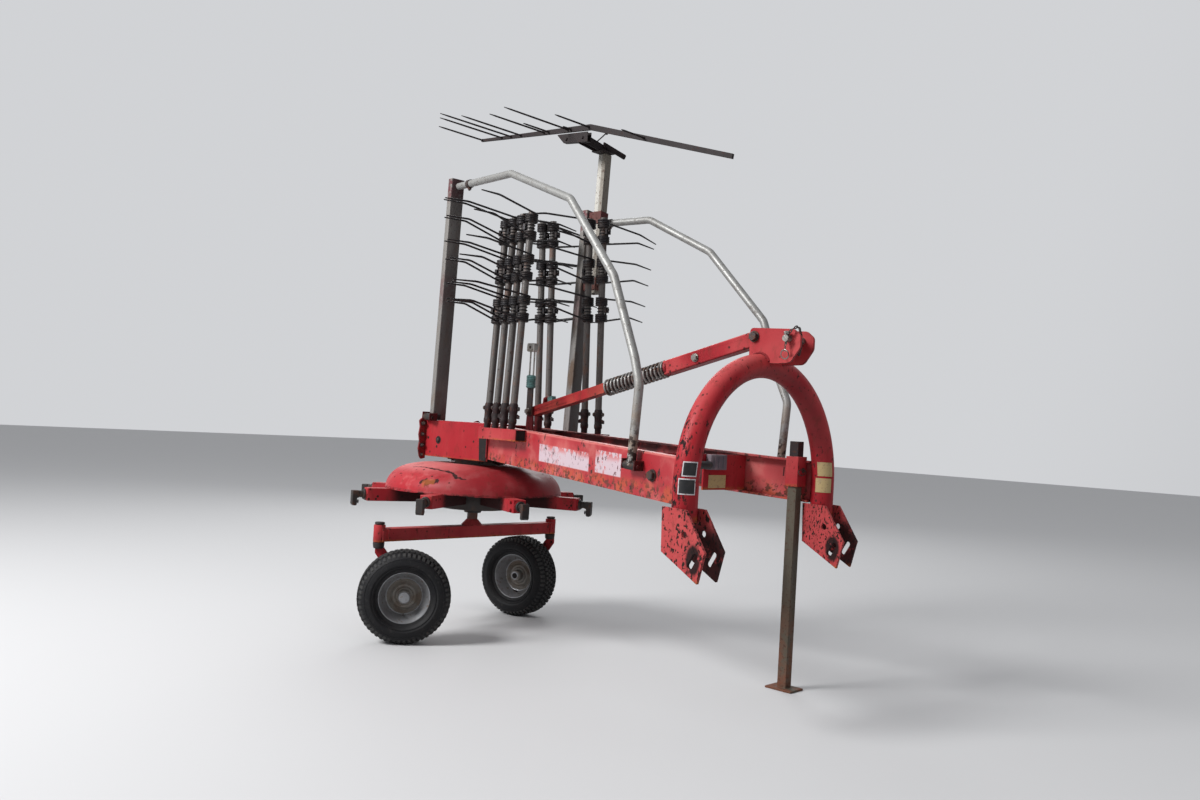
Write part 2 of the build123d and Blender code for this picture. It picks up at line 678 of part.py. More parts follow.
# Racks on the outside of the side members, open at the front: side, start, length, gap to the plate
rack_table = [("right", -1, 0.0, 338.0, 0.0), ("left", 1, -56.0, 418.0, rack_spacer)]
for side_name, side, rack_start, rack_length, gap in rack_table:
    rack_line = flare_start + flare_out * (sheet / 2 + gap + rack_width / 2)
    with BuildPart() as rack:
        with BuildSketch(Plane(origin=rack_line + flare_dir * rack_start
                               + Vector(0, 0, rack_top_z - rack_height / 2),
                               x_dir=flare_out, z_dir=flare_dir)):
            Rectangle(rack_width, rack_height)
            Rectangle(rack_width - 2 * rack_wall, rack_height - 2 * rack_wall, mode=Mode.SUBTRACT)
        extrude(amount=rack_length)
        if gap > 0:
            for along in (60.0, rack_start + rack_length - 60.0):
                with BuildSketch(Plane(origin=flare_start + flare_dir * (along - 25)
                                       + flare_out * (sheet / 2 + gap / 2)
                                       + Vector(0, 0, rack_top_z - rack_height / 2),
                                       x_dir=flare_out, z_dir=flare_dir)):
                    Rectangle(gap, rack_height - 12)
                extrude(amount=50)
    rack_placed = rack.part if side < 0 else mirror(rack.part, about=Plane.XZ)
    rack_placed.label = "rack_" + side_name
    export_step(rack_placed, "parts/rack_" + side_name + ".step")
left_rack = rack_placed

# Tine arms, two to a node: side, then for each arm the distance along the rack, the turn of its
# tines from straight out, and the turn from one tine down to the next. The top tines on the left
# lie lower, inside the swing of the guard.
arm_rows = [
    ("right_rear", -1, [(30.0, 4.0, 2.0), (105.0, -2.0, 3.0)]),
    ("right_front", -1, [(180.0, 186.0, 0.0), (255.0, 14.0, -4.0)]),
    ("left_rear", 1, [(-31.0, 3.0, -2.0), (29.0, -4.0, -1.0)]),
    ("left_front", 1, [(238.0, 186.0, 0.0), (314.0, 0.0, -2.0)]),
]
top_coil = arm_length - coil_inset
coil_heights = [top_coil - pair * pair_pitch - lower * coil_gap for pair in range(3) for lower in (0, 1)]
for row_name, side, arms_in_row in arm_rows:
    gap = rack_spacer if side > 0 else 0.0
    lift = left_arm_lift if side > 0 else 0.0
    lean = Vector(0, -side * sin(radians(arm_lean)), cos(radians(arm_lean)))
    with BuildPart() as arms:
        for along, turn, twist in arms_in_row:
            seat = flare_start + flare_dir * along + flare_out * (sheet / 2 + gap + rack_width / 2)
            seat = Vector(seat.X, -side * seat.Y, rack_top_z)
            with BuildSketch(Plane(origin=seat - lean * 4, x_dir=(1, 0, 0), z_dir=lean)):
                Circle(arm_foot_r)
            extrude(amount=arm_foot_length + 4)
            with BuildSketch(Plane(origin=seat + lean * (arm_foot_length - 1), x_dir=(1, 0, 0),
                                   z_dir=lean)):
                Circle(arm_tube_r)
            extrude(amount=arm_length + lift - arm_foot_length + 1)
            for level, coil_height in enumerate(coil_heights):
                bearing = radians(turn + twist * level)
                level_out = Vector(sin(bearing), side * cos(bearing), 0)
                across = Vector(-level_out.Y, level_out.X, 0)
                rise = left_top_rise if side > 0 and level == 0 else tine_rise
                out = level_out * cos(radians(rise)) + Vector(0, 0, sin(radians(rise)))
                tip_rise = radians(rise - tine_kink)
                tip_out = level_out * cos(tip_rise) + Vector(0, 0, sin(tip_rise))
                middle = seat + lean * (coil_height + lift)
                with BuildSketch(Plane(origin=middle - lean * coil_length / 2, x_dir=(1, 0, 0),
                                       z_dir=lean)):
                    Circle(coil_r)
                extrude(amount=coil_length)
                root = middle + across * (coil_r - tine_r - 2)
                knee = root + out * tine_reach
                with BuildLine():
                    Polyline(root, knee, knee + tip_out * tine_tip)
                with BuildSketch(Plane(origin=root, x_dir=across, z_dir=out)):
                    RegularPolygon(tine_r, 6)
                sweep(transition=Transition.RIGHT)
        split(bisect_by=Plane.XY.offset(rack_top_z), keep=Keep.TOP)
    arms.part.label = "tine_arms_" + row_name
    export_step(arms.part, "parts/tine_arms_" + row_name + ".step")

# Guards: post from foot to top, tube drawn in its own plane by distance along and height above,
# and the hinge line through a barrel at each foot
guard_table = [
    ("right", -1, (-165.0, 120.0, 977.0), (-161.0, 98.0, 2155.0),
     (-165.0, 120.0, 985.0), (1373.0, 404.0, 860.0), -1.1,
     [(-60.0, 1132.0), (444.0, 1149.0), (956.0, 1001.0), (1323.0, 684.0), (1514.0, 385.0),
      (1560.0, 290.0), (1569.0, 0.0)], (-165.0, 172.0, 990.0)),
    ("left", 1, (350.0, 279.0, 925.0), (318.0, 351.0, 2034.0),
     (350.0, 331.0, 950.0), (1460.0, 420.0, 860.0), 4.0,
     [(-128.0, 1028.0), (222.0, 1050.0), (590.0, 902.0), (921.0, 608.0), (1039.0, 370.0),
      (1095.0, 276.0), (1110.0, 0.0)], (350.0, 279.0, 913.0)),
]
guard_frames = {}
for side_name, side, foot, top, tube_rear, tube_foot, lean_out, corners, barrel in guard_table:
    foot_point = Vector(rotor_x + foot[0], side * foot[1], foot[2])
    top_point = Vector(rotor_x + top[0], side * top[1], top[2])
    tube_start = Vector(rotor_x + tube_rear[0], side * tube_rear[1], tube_rear[2])
    tube_end = Vector(rotor_x + tube_foot[0], side * tube_foot[1], tube_foot[2])
    hinge_rear = Vector(rotor_x + barrel[0], side * barrel[1], barrel[2])
    along = (tube_end - tube_start).normalized()
    level_out = Vector(-side * along.Y, side * along.X, 0).normalized()
    rise = level_out * sin(radians(lean_out)) + Vector(0, 0, cos(radians(lean_out)))
    rise = (rise - along * rise.dot(along)).normalized()
    tube_plane = Plane(origin=tube_start, x_dir=along, z_dir=along.cross(rise))
    out = tube_plane.z_dir if tube_plane.z_dir.dot(level_out) > 0 else -tube_plane.z_dir
    post_dir = (top_point - foot_point).normalized()
    post_out = (out - post_dir * out.dot(post_dir)).normalized()
    path = [tube_plane.from_local_coords((s, w, 0)) for s, w in corners]
    hinge_front = path[-1]
    hinge_dir = (hinge_front - hinge_rear).normalized()
    guard_frames[side_name] = (foot_point, top_point, post_dir, post_out, hinge_rear, hinge_front)
    with BuildPart() as guard:
        with BuildSketch(Plane(origin=foot_point, x_dir=post_out, z_dir=post_dir)):
            Rectangle(post_width, post_depth)
            Rectangle(post_width - 2 * post_wall, post_depth - 2 * post_wall, mode=Mode.SUBTRACT)
        extrude(amount=(top_point - foot_point).length)
        with BuildLine():
            FilletPolyline(path, radius=70)
        with BuildSketch(Plane(origin=path[0], z_dir=(path[1] - path[0]).normalized())):
            Circle(guard_tube_r)
        sweep()
        for centre in (hinge_rear, hinge_front):
            with BuildSketch(Plane(origin=centre - hinge_dir * barrel_half, z_dir=hinge_dir)):
                Circle(barrel_r)
            extrude(amount=2 * barrel_half)
        # lug from the barrel to the foot of the post
        with BuildSketch(Plane(origin=hinge_rear + post_dir * 6, x_dir=hinge_dir,
                               z_dir=-post_out)):
            Rectangle(post_depth - 8, 20)
        extrude(amount=max(0.0, abs((foot_point - hinge_rear).dot(post_out))) + 4)
        for centre in (hinge_rear, hinge_front):
            with BuildSketch(Plane(origin=centre - hinge_dir * (barrel_half + 1),
                                   z_dir=hinge_dir)):
                Circle(hinge_r + hinge_gap)
            extrude(amount=2 * barrel_half + 2, mode=Mode.SUBTRACT)
    guard.part.label = "guard_" + side_name
    export_step(guard.part, "parts/guard_" + side_name + ".step")

# Hinge ears and pins on the box, the rack and the side members
ear_table = [("right", 0), ("right", 1), ("left", 0), ("left", 1)]
with BuildPart() as hinge_ears:
    for side_name, end in ear_table:
        foot_point, top_point, post_dir, post_out, hinge_rear, hinge_front = guard_frames[side_name]
        centre = hinge_rear if end == 0 else hinge_front
        hinge_dir = (hinge_front - hinge_rear).normalized()
        level = Vector(post_out.X, post_out.Y, 0)
        level = (level - hinge_dir * level.dot(hinge_dir)).normalized()
        for shift in (-barrel_half - ear_gap - ear_thick, barrel_half + ear_gap):
            with BuildSketch(Plane(origin=centre + hinge_dir * shift, x_dir=level,
                                   z_dir=hinge_dir)):
                with Locations(((16.0 - ear_reach[(side_name, end)]) / 2, -4.0)):
                    Rectangle(16.0 + ear_reach[(side_name, end)], 36)
            extrude(amount=ear_thick)
        with BuildSketch(Plane(origin=centre - hinge_dir * (barrel_half + ear_gap + ear_thick + 6),
                               z_dir=hinge_dir)):
            Circle(hinge_r)
        extrude(amount=2 * (barrel_half + ear_gap + ear_thick + 6))
    add(rear_box.part, mode=Mode.SUBTRACT)
    add(right_member.part, mode=Mode.SUBTRACT)
    add(left_member.part, mode=Mode.SUBTRACT)
    add(left_rack, mode=Mode.SUBTRACT)
hinge_ears.part.label = "guard_hinges"
export_step(hinge_ears.part, "parts/guard_hinges.step")

# Swath comb: square pole in front of the left post, cross channel, bar and tines
foot_point, top_point, post_dir, post_out, hinge_rear, hinge_front = guard_frames["left"]
pole_fore = post_dir.cross(post_out)
pole_fore = pole_fore if pole_fore.X > 0 else -pole_fore
pole_foot = foot_point + pole_fore * pole_set + post_dir * pole_low
pole_head = foot_point + pole_fore * pole_set + post_dir * pole_high
with BuildPart() as swath_pole:
    with BuildSketch(Plane(origin=pole_foot, x_dir=post_out, z_dir=post_dir)):
        Rectangle(pole, pole)
        Rectangle(pole - 2 * pole_wall, pole - 2 * pole_wall, mode=Mode.SUBTRACT)
    extrude(amount=(pole_head - pole_foot).length)
swath_pole.part.label = "swath_pole"
export_step(swath_pole.part, "parts/swath_pole.step")

# Two sleeves on the front of the left post that the pole slides in
sleeve_half = pole / 2 + slide_gap + pole_sleeve_wall
with BuildPart() as pole_sleeves:
    for height in pole_sleeve_heights:
        with BuildSketch(Plane(origin=foot_point + post_dir * height, x_dir=pole_fore,
                               z_dir=post_dir)):
            with Locations(((post_depth / 2 + pole_set) / 2, 0)):
                Rectangle(pole_set - post_depth / 2, 2 * sleeve_half - 12)
            with Locations((pole_set, 0)):
                Rectangle(2 * sleeve_half, 2 * sleeve_half)
                Rectangle(pole + 2 * slide_gap, pole + 2 * slide_gap, mode=Mode.SUBTRACT)
        extrude(amount=pole_sleeve_length)
pole_sleeves.part.label = "pole_sleeves"
export_step(pole_sleeves.part, "parts/pole_sleeves.step")

# Comb: bar corners and tine roots along it, both from the rotor axis, and the reach of each tine
comb_corners = [(-360.0, 2455.0), (450.0, 2391.0), (1290.0, 2130.0)]
comb_tines = [(-349.0, 290.0), (-192.0, 400.0), (-119.0, 453.0), (-42.0, 385.0), (129.0, 353.0),
              (163.0, 173.0), (299.0, 408.0), (319.0, 60.0), (443.0, 228.0), (796.0, 156.0)]
with BuildPart() as comb:
    for (x_a, z_a), (x_b, z_b) in zip(comb_corners[:-1], comb_corners[1:]):
        a = Vector(rotor_x + x_a, comb_y, z_a)
        b = Vector(rotor_x + x_b, comb_y, z_b)
        with BuildSketch(Plane(origin=a, x_dir=(0, 1, 0), z_dir=(b - a).normalized())):
            Rectangle(comb_bar_thick, comb_bar)
        extrude(amount=(b - a).length)
    for x_root, reach in comb_tines:
        (x_a, z_a), (x_b, z_b) = comb_corners[:2] if x_root < comb_corners[1][0] else comb_corners[1:]
        z_root = z_a + (z_b - z_a) * (x_root - x_a) / (x_b - x_a)
        with BuildSketch(Plane(origin=(rotor_x + x_root, comb_y, z_root), z_dir=(0, -1, 0))):
            RegularPolygon(comb_tine_r, 6)
        extrude(amount=reach)
comb.part.label = "swath_comb"
export_step(comb.part, "parts/swath_comb.step")

# Carrier on the pole head: a channel reaching in to the clamp under the bar, a flat arm reaching
# out to an eye, and the clamp block that the bar sits in
with BuildPart() as comb_carrier:
    with BuildSketch(Plane(origin=pole_head + post_dir * channel / 2 + post_out * (pole / 2 + 8),
                           x_dir=pole_fore, z_dir=-post_out)):
        Rectangle(pole + 12, channel)
    extrude(amount=pole / 2 + 8 + carrier_reach)
    with BuildSketch(Plane(origin=pole_head + pole_fore * (pole / 2 + 6 - carrier_arm_thick),
                           x_dir=post_out, z_dir=pole_fore)):
        with BuildLine():
            Polyline((0, 4), (carrier_arm, channel / 2 - 12), (carrier_arm + 14, channel / 2),
                     (carrier_arm, channel / 2 + 12), (0, channel - 4), close=True)
        make_face()
        with Locations((carrier_arm - 8, channel / 2)):
            Circle(carrier_eye_r, mode=Mode.SUBTRACT)
    extrude(amount=carrier_arm_thick)
    clamp_x = (pole_head - post_out * (carrier_reach - 30)).X
    with BuildSketch(Plane.XY.offset(pole_head.Z + 30)):
        with Locations((clamp_x, comb_y)):
            Rectangle(56, 44)
    extrude(amount=72)
    add(comb.part, mode=Mode.SUBTRACT)
comb_carrier.part.label = "comb_carrier"
export_step(comb_carrier.part, "parts/comb_carrier.step")
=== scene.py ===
import bmesh
import bpy
from math import cos, exp, hypot, pi, radians, sin, tan
from mathutils import Matrix, Vector


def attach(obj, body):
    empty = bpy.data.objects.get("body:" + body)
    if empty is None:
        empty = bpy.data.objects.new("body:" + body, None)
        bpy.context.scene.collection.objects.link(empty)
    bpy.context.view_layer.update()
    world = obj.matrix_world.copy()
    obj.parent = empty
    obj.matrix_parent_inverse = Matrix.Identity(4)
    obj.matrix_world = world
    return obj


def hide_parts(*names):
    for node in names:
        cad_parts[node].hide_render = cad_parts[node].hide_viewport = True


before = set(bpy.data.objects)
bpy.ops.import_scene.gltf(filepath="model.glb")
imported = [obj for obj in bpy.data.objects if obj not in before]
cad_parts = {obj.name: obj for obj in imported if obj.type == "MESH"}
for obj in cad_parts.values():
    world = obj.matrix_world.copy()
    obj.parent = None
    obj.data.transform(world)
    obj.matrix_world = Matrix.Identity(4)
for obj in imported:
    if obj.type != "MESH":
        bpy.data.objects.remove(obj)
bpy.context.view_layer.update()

# The place it is seen from: the right front of the machine, a little under one metre above the
# ground, with the camera turned slightly about its own line of sight. Then a plain pale floor and
# the soft light of a bright overcast day, strongest from the upper left.
heading, climb, roll = radians(134.1248), radians(1.5109), radians(3.4024)
camera_ahead = Vector((cos(heading) * cos(climb), sin(heading) * cos(climb), sin(climb)))
level_right = Vector((sin(heading), -cos(heading), 0))
level_up = level_right.cross(camera_ahead)
camera_right = level_right * cos(roll) + level_up * sin(roll)
camera_up = level_up * cos(roll) - level_right * sin(roll)
camera = bpy.data.objects.new("camera", bpy.data.cameras.new("camera"))
camera.data.lens = 30.0
camera.data.sensor_width = 36.0
camera.data.sensor_fit = "HORIZONTAL"
camera.matrix_world = Matrix((camera_right, camera_up, -camera_ahead)).transposed().to_4x4()
camera.location = Vector((3.1511, -3.0601, 0.993))
bpy.context.scene.collection.objects.link(camera)
bpy.context.scene.camera = camera


def fill(tree, node, given):
    """Fills a shader node's inputs, each with a value or with a wire from another node."""
    for slot_name, value in given.items():
        if isinstance(value, bpy.types.NodeSocket):
            tree.links.new(value, node.inputs[slot_name])
        else:
            node.inputs[slot_name].default_value = value


def wired(tree, kind, out, given, **settings):
    """One output of a new shader node, with its settings made and its inputs filled."""
    made = tree.nodes.new("ShaderNode" + kind)
    for setting, value in settings.items():
        setattr(made, setting, value)
    fill(tree, made, given)
    return made.outputs[out]


floor_half = 30.0
floor_mesh = bpy.data.meshes.new("floor")
floor_mesh.from_pydata([(x * floor_half, y * floor_half, 0) for x, y in ((-1, -1), (1, -1), (1, 1), (-1, 1))],
                       [], [(0, 1, 2, 3)])
floor = bpy.data.objects.new("floor", floor_mesh)
bpy.context.scene.collection.objects.link(floor)
floor_paint = bpy.data.materials.new("pale_floor")
floor_paint.use_nodes = True
fill(floor_paint.node_tree, floor_paint.node_tree.nodes["Principled BSDF"],
     {"Base Color": (0.56, 0.56, 0.565, 1), "Roughness": 0.85})
floor_mesh.materials.append(floor_paint)

bpy.context.scene.world = sky = bpy.data.worlds.new("sky")
sky.use_nodes = True
sky_way = wired(sky.node_tree, "TexCoord", "Generated", {})
sky_side = wired(sky.node_tree, "VectorMath", "Value", {0: sky_way, 1: (-0.95, 0.05, 0.30)},
                 operation="DOT_PRODUCT")
sky_share = wired(sky.node_tree, "MapRange", "Result",
                  {"Value": sky_side, "From Min": -0.55, "From Max": 0.45}, interpolation_type="SMOOTHSTEP")
sky_colour = wired(sky.node_tree, "Mix", 2, {0: sky_share, 6: (0.17, 0.175, 0.185, 1),
                                             7: (0.64, 0.65, 0.67, 1)}, data_type="RGBA")
fill(sky.node_tree, sky.node_tree.nodes["Background"], {"Color": sky_colour, "Strength": 1.0})
bpy.context.scene.view_settings.view_transform = "Standard"
# name, place, point lit, size in metres, watts
lamps = [("main_light", (-2.0, -6.0, 5.5), (0, 0, 0.9), 2.6, 680.0),
         ("front_light", (6.0, -1.5, 3.0), (0.2, 0, 0.9), 3.0, 26.0),
         ("rear_light", (-4.5, 4.5, 4.0), (-0.3, 0, 1.0), 3.5, 110.0)]
for lamp_name, lamp_place, lit_point, lamp_size, watts in lamps:
    lamp_data = bpy.data.lights.new(lamp_name, "AREA")
    lamp_data.shape = "DISK"
    lamp_data.size = lamp_size
    lamp_data.energy = watts
    lamp = bpy.data.objects.new(lamp_name, lamp_data)
    lamp.location = lamp_place
    lamp.rotation_mode = "QUATERNION"
    lamp.rotation_quaternion = (Vector(lit_point) - Vector(lamp_place)).to_track_quat("-Z", "Y")
    bpy.context.scene.collection.objects.link(lamp)


# Headstock: one steel tube bent to an arch, with two cut plates welded to each leg for the
# tractor's lower links. Coral red enamel that has faded and chipped, with rust bleeding along
# the lower edges. Two blank sign plates stand on the near leg and two stickers on the far one.
class Coat:
    """A finish, built up coat by coat on a bare colour. A share says how far a coat holds, from 0 to 1."""

    def __init__(self, name, colour, roughness, metallic=0.0, specular=0.5):
        self.material = bpy.data.materials.new(name)
        self.material.use_nodes = True
        self.material.diffuse_color = (*colour, 1)
        self.tree = self.material.node_tree
        self.shader = self.tree.nodes["Principled BSDF"]
        fill(self.tree, self.shader, {"Metallic": metallic, "Specular IOR Level": specular})
        self.place = self.node("TexCoord", "Object", {})
        self.colour, self.roughness, self.normal = (*colour, 1), roughness, None

    def node(self, kind, out, given, **settings):
        return wired(self.tree, kind, out, given, **settings)

    def vectors(self, operation, one, two, out="Vector"):
        return self.node("VectorMath", out, {0: one, 1: two}, operation=operation)

    def numbers(self, operation, one, two):
        return self.node("Math", "Value", {0: one, 1: two}, operation=operation, use_clamp=True)

    def share(self, value, low, high):
        """Turns a value into a share, 0 at low and 1 at high."""
        return self.node("MapRange", "Result", {"Value": value, "From Min": low, "From Max": high},
                         interpolation_type="SMOOTHSTEP")

    def blotches(self, scale, low, high, detail=4.0, shift=0.0, stretch=(1, 1, 1)):
        """Blotches about 1/scale metres wide, that begin at low and are full at high."""
        place = self.node("Mapping", "Vector", {"Vector": self.place, "Scale": stretch,
                                                "Location": (shift, shift * 0.7, shift * 1.3)})
        noise = {"Vector": place, "Scale": scale, "Detail": detail, "Roughness": 0.6}
        return self.share(self.node("TexNoise", "Fac", noise), low, high)

    def spots(self, scale, size, shift=0.0):
        """Scattered round spots."""
        place = self.node("Mapping", "Vector", {"Vector": self.place, "Location": (shift, shift, shift)})
        cells = self.node("TexVoronoi", "Distance", {"Vector": place, "Scale": scale})
        return self.share(cells, size, size * 0.6)

    def height(self, low, high):
        """From one height to the other."""
        return self.share(self.node("SeparateXYZ", "Z", {"Vector": self.place}), low, high)

    def along(self, start, direction, low, high):
        """By the distance along a direction from a start point."""
        offset = self.vectors("SUBTRACT", self.place, start)
        return self.share(self.vectors("DOT_PRODUCT", offset, direction, "Value"), low, high)

    def near(self, centre, reach, fading, stretch=(1, 1, 1)):
        """Nearer to a place than reach, fading out over the distance given."""
        away = self.vectors("MULTIPLY", self.vectors("SUBTRACT", self.place, centre), stretch)
        return self.share(self.vectors("LENGTH", away, (0, 0, 0), "Value"), reach + fading, reach)

    def scratch(self, start, end, width, ragged):
        """Within a width of the ragged line between two points, seen from above."""
        shake = Vector((ragged, ragged, 0))
        start, end = Vector((*start, 0)) + shake, Vector((*end, 0)) + shake
        noise = self.node("TexNoise", "Color", {"Vector": self.place, "Scale": 55.0, "Detail": 3.0})
        here = self.vectors("ADD", self.place, self.vectors("MULTIPLY", noise, shake * 2))
        offset = self.vectors("SUBTRACT", self.vectors("MULTIPLY", here, (1, 1, 0)), start)
        way = (end - start) / (end - start).length_squared
        held = self.numbers("ADD", self.vectors("DOT_PRODUCT", offset, way, "Value"), 0.0)
        nearest = self.node("VectorMath", "Vector", {0: end - start, "Scale": held}, operation="SCALE")
        return self.share(self.vectors("DISTANCE", offset, nearest, "Value"), width, width * 0.5)

    def facing(self, way, low, high):
        """As the surface turns to face a way."""
        look = self.node("NewGeometry", "Normal", {})
        return self.share(self.vectors("DOT_PRODUCT", look, way, "Value"), low, high)

    def edges(self, width):
        """Within a width of a sharp edge."""
        return self.facing(self.node("Bevel", "Normal", {"Radius": width}, samples=4), 0.985, 0.90)

    def both(self, first, *others):
        """Where all the shares hold."""
        for other in others:
            first = self.numbers("MULTIPLY", first, other)
        return first

    def either(self, first, *others):
        """Where any of the shares holds."""
        for other in others:
            first = self.numbers("MAXIMUM", first, other)
        return first

    def lay(self, share, colour, roughness=None):
        """Lays a colour over the coats so far."""
        self.colour = self.node("Mix", 2, {0: share, 6: self.colour, 7: (*colour, 1)}, data_type="RGBA")
        if roughness is not None:
            self.roughness = self.node("Mix", 0, {0: share, 2: self.roughness, 3: roughness},
                                       data_type="FLOAT")

    def cover(self, shares, colour, roughness=None):
        """Lays a colour where all the shares hold."""
        self.lay(self.both(*shares), colour, roughness)

    def stain(self, blotches, share, colour, roughness):
        """Lays a colour in blotches."""
        self.cover((self.blotches(*blotches), share), colour, roughness)

    def relief(self, share, depth, strength=0.7):
        """Raises the surface by a depth in metres."""
        given = {"Height": share, "Distance": depth, "Strength": strength}
        if self.normal is not None:
            given["Normal"] = self.normal
        self.normal = self.node("Bump", "Normal", given)

    def done(self):
        fill(self.tree, self.shader, {"Base Color": self.colour, "Roughness": self.roughness,
                                      "Normal": self.normal})
        return self.material


def worn_finish(name, look, stains, grain, specular=0.5):
    """A plain finish. look is its colour, roughness and metal. stains lists the blotches, share,
    colour and roughness of each stain, and grain the blotches and the depth of its fine relief."""
    coat = Coat(name, *look, specular=specular)
    for stain in stains:
        coat.stain(*stain)
    *blotches, depth = grain
    coat.relief(coat.blotches(*blotches), depth)
    return coat.done()


fresh_red = (0.37, 0.014, 0.022)
faded_red = (0.50, 0.062, 0.064)
deep_red = (0.18, 0.008, 0.013)
bare_brown = (0.022, 0.012, 0.010)
rust_orange = (0.38, 0.105, 0.026)
rust_dark = (0.075, 0.026, 0.014)
straight_up, straight_down = (0, 0, 1), (0, 0, -1)


def red_enamel(name, wear=1.0, rust=None, base=fresh_red, faded=faded_red, fade=0.5, chipped=0.3, dirt_and_shade=()):
    """Faded enamel on steel. rust gives the heights between which it gathers, low then high. dirt_and_shade
    lists what makes each dark place, worn places and painted shade: a function of the coat that gives its
    share."""
    coat = Coat(name, base, 0.44, specular=0.20)
    coat.stain((2.3, 0.42, 0.66, 3.0), fade, faded, 0.55)
    coat.stain((14.0, 0.50, 0.75, 5.0, 0, (1, 1, 0.25)), 0.35, faded, 0.60)
    coat.stain((5.0, 0.52, 0.72, 5.0, 3.1), 0.45, deep_red, 0.5)
    # Painted top light, with some sun fade: faces that look up are laid paler.
    coat.cover((coat.facing(straight_up, 0.15, 0.80), 0.55 * fade), (0.56, 0.115, 0.110), 0.55)
    # Painted shade: faces that look down are laid dark red.
    coat.cover((coat.facing(straight_down, -0.3, 0.6), 0.70), (0.10, 0.006, 0.009))
    coat.stain((42.0, 0.52, 0.70, 6.0, 7.7, (1, 1, 0.45)), 0.30 * wear, rust_dark, 0.75)
    bare = coat.both(coat.edges(0.0035), coat.blotches(30.0, 0.44, 0.56, 5.0, 1.7))
    flecks = coat.both(coat.spots(34.0, 0.24, 5.0), coat.blotches(7.0, 0.52, 0.60, 3.0, 9.0))
    torn, spread = 0.655 - 0.060 * chipped, 0.50 - 0.14 * chipped
    flakes = coat.both(coat.blotches(66.0 + 34.0 * chipped, torn, torn + 0.02, 3.0, 4.0, (1, 1, 0.50)),
                       coat.blotches(4.5, spread, spread + 0.08, 2.0, 2.0))
    chips = coat.either(bare, flecks, flakes)
    coat.cover((chips, min(1.0, 0.85 * wear)), bare_brown, 0.85)
    coat.relief(chips, -0.0004)
    # Near-black places: worn ones, and painted shade where a piece lies in shade.
    for dark_place in dirt_and_shade:
        coat.lay(dark_place(coat), (0.012, 0.006, 0.006), 0.8)
    if rust:
        zone = coat.both(coat.height(rust[1], rust[0]), coat.blotches(26.0, 0.36, 0.60, 6.0, 6.0))
        coat.cover((zone, 0.85), rust_orange, 0.85)
        pits = coat.both(zone, coat.blotches(90.0, 0.50, 0.62, 4.0, 8.0))
        coat.lay(pits, rust_dark, 0.9)
        coat.relief(pits, -0.0006)
    coat.relief(coat.blotches(260.0, 0.3, 0.7, 2.0), 0.00012, 0.5)
    return coat.done()


def round_edges(piece, width):
    """Rounds the sharp edges of a piece a little."""
    edge = piece.modifiers.new("rounded_edges", "BEVEL")
    edge.width = width
    edge.segments = 2
    edge.limit_method = "ANGLE"
    edge.angle_limit = radians(40)


def finish_node(name, finish, rounding=0.0):
    """Gives a CAD piece its finish and, if asked, its rounded edges."""
    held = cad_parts[name]
    held.data.materials.clear()
    held.data.materials.append(finish)
    if rounding:
        held.modifiers.new("joined_corners", "WELD").merge_threshold = 0.00002
        round_edges(held, rounding)


def steel_piece(name, work, finishes, body, stands_for=(), crease=35.0, rounding=0.0):
    """Closes the bmesh work on a piece and lets it ride on its body."""
    bmesh.ops.recalc_face_normals(work, faces=work.faces)
    mesh = bpy.data.meshes.new(name)
    work.to_mesh(mesh)
    work.free()
    for finish in finishes:
        mesh.materials.append(finish)
    mesh.shade_smooth()
    mesh.set_sharp_from_angle(angle=radians(crease))
    made = bpy.data.objects.new(name, mesh)
    bpy.context.scene.collection.objects.link(made)
    if rounding:
        round_edges(made, rounding)
    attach(made, body)
    if stands_for:
        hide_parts(*stands_for)


def square_to(axis, near=Vector((0, 0, 1))):
    """Two directions square to an axis and to each other, the first as close to near as can be."""
    axis = axis.normalized()
    if abs(axis.dot(near)) > 0.98:
        near = Vector((1, 0, 0))
    first = (near - axis * near.dot(axis)).normalized()
    return first, axis.cross(first)


def skin(work, rings, finish=0, loop=False):
    """Faces from ring to ring of points, with flat ends or closed on itself in a loop."""
    laid = [[work.verts.new(point) for point in ring] for ring in rings]
    faces = [] if loop else [laid[0][::-1], laid[-1]]
    for one, two in zip(laid, laid[1:] + laid[:1] if loop else laid[1:]):
        faces += [(one[place - 1], one[place], two[place], two[place - 1]) for place in range(len(one))]
    for corners in faces:
        work.faces.new(corners).material_index = finish


def circle(middle, one, two, radius, steps):
    """Points round a middle, in the plane of two directions."""
    turns = [2 * pi * step / steps for step in range(steps)]
    return [middle + (one * cos(turn) + two * sin(turn)) * radius for turn in turns]


def turned(work, foot, axis, profile, steps=32, finish=0, loop=False):
    """A round piece: profile lists the distance along the axis and the radius there."""
    foot, axis = Vector(foot), Vector(axis).normalized()
    one, two = square_to(axis)
    rings = [circle(foot + axis * reach, one, two, radius, steps) for reach, radius in profile]
    skin(work, rings, finish, loop)


def rod(work, points, radius, sides=12, finish=0):
    """A round bar that follows points. radius is one size or one for each point."""
    points = [Vector(point) for point in points]
    sizes = radius if isinstance(radius, list) else [radius] * len(points)
    one = square_to(points[1] - points[0])[0]
    rings = []
    for place, (middle, size) in enumerate(zip(points, sizes)):
        ahead = (points[min(len(points) - 1, place + 1)] - points[max(0, place - 1)]).normalized()
        one = (one - ahead * one.dot(ahead)).normalized()
        rings.append(circle(middle, one, ahead.cross(one), size, sides))
    skin(work, rings, finish)


def plate(work, corners, thickness, finish=0):
    """A flat plate: its outline, and the vector through its thickness."""
    corners, thickness = [Vector(corner) for corner in corners], Vector(thickness)
    skin(work, [corners, [corner + thickness for corner in corners]], finish)


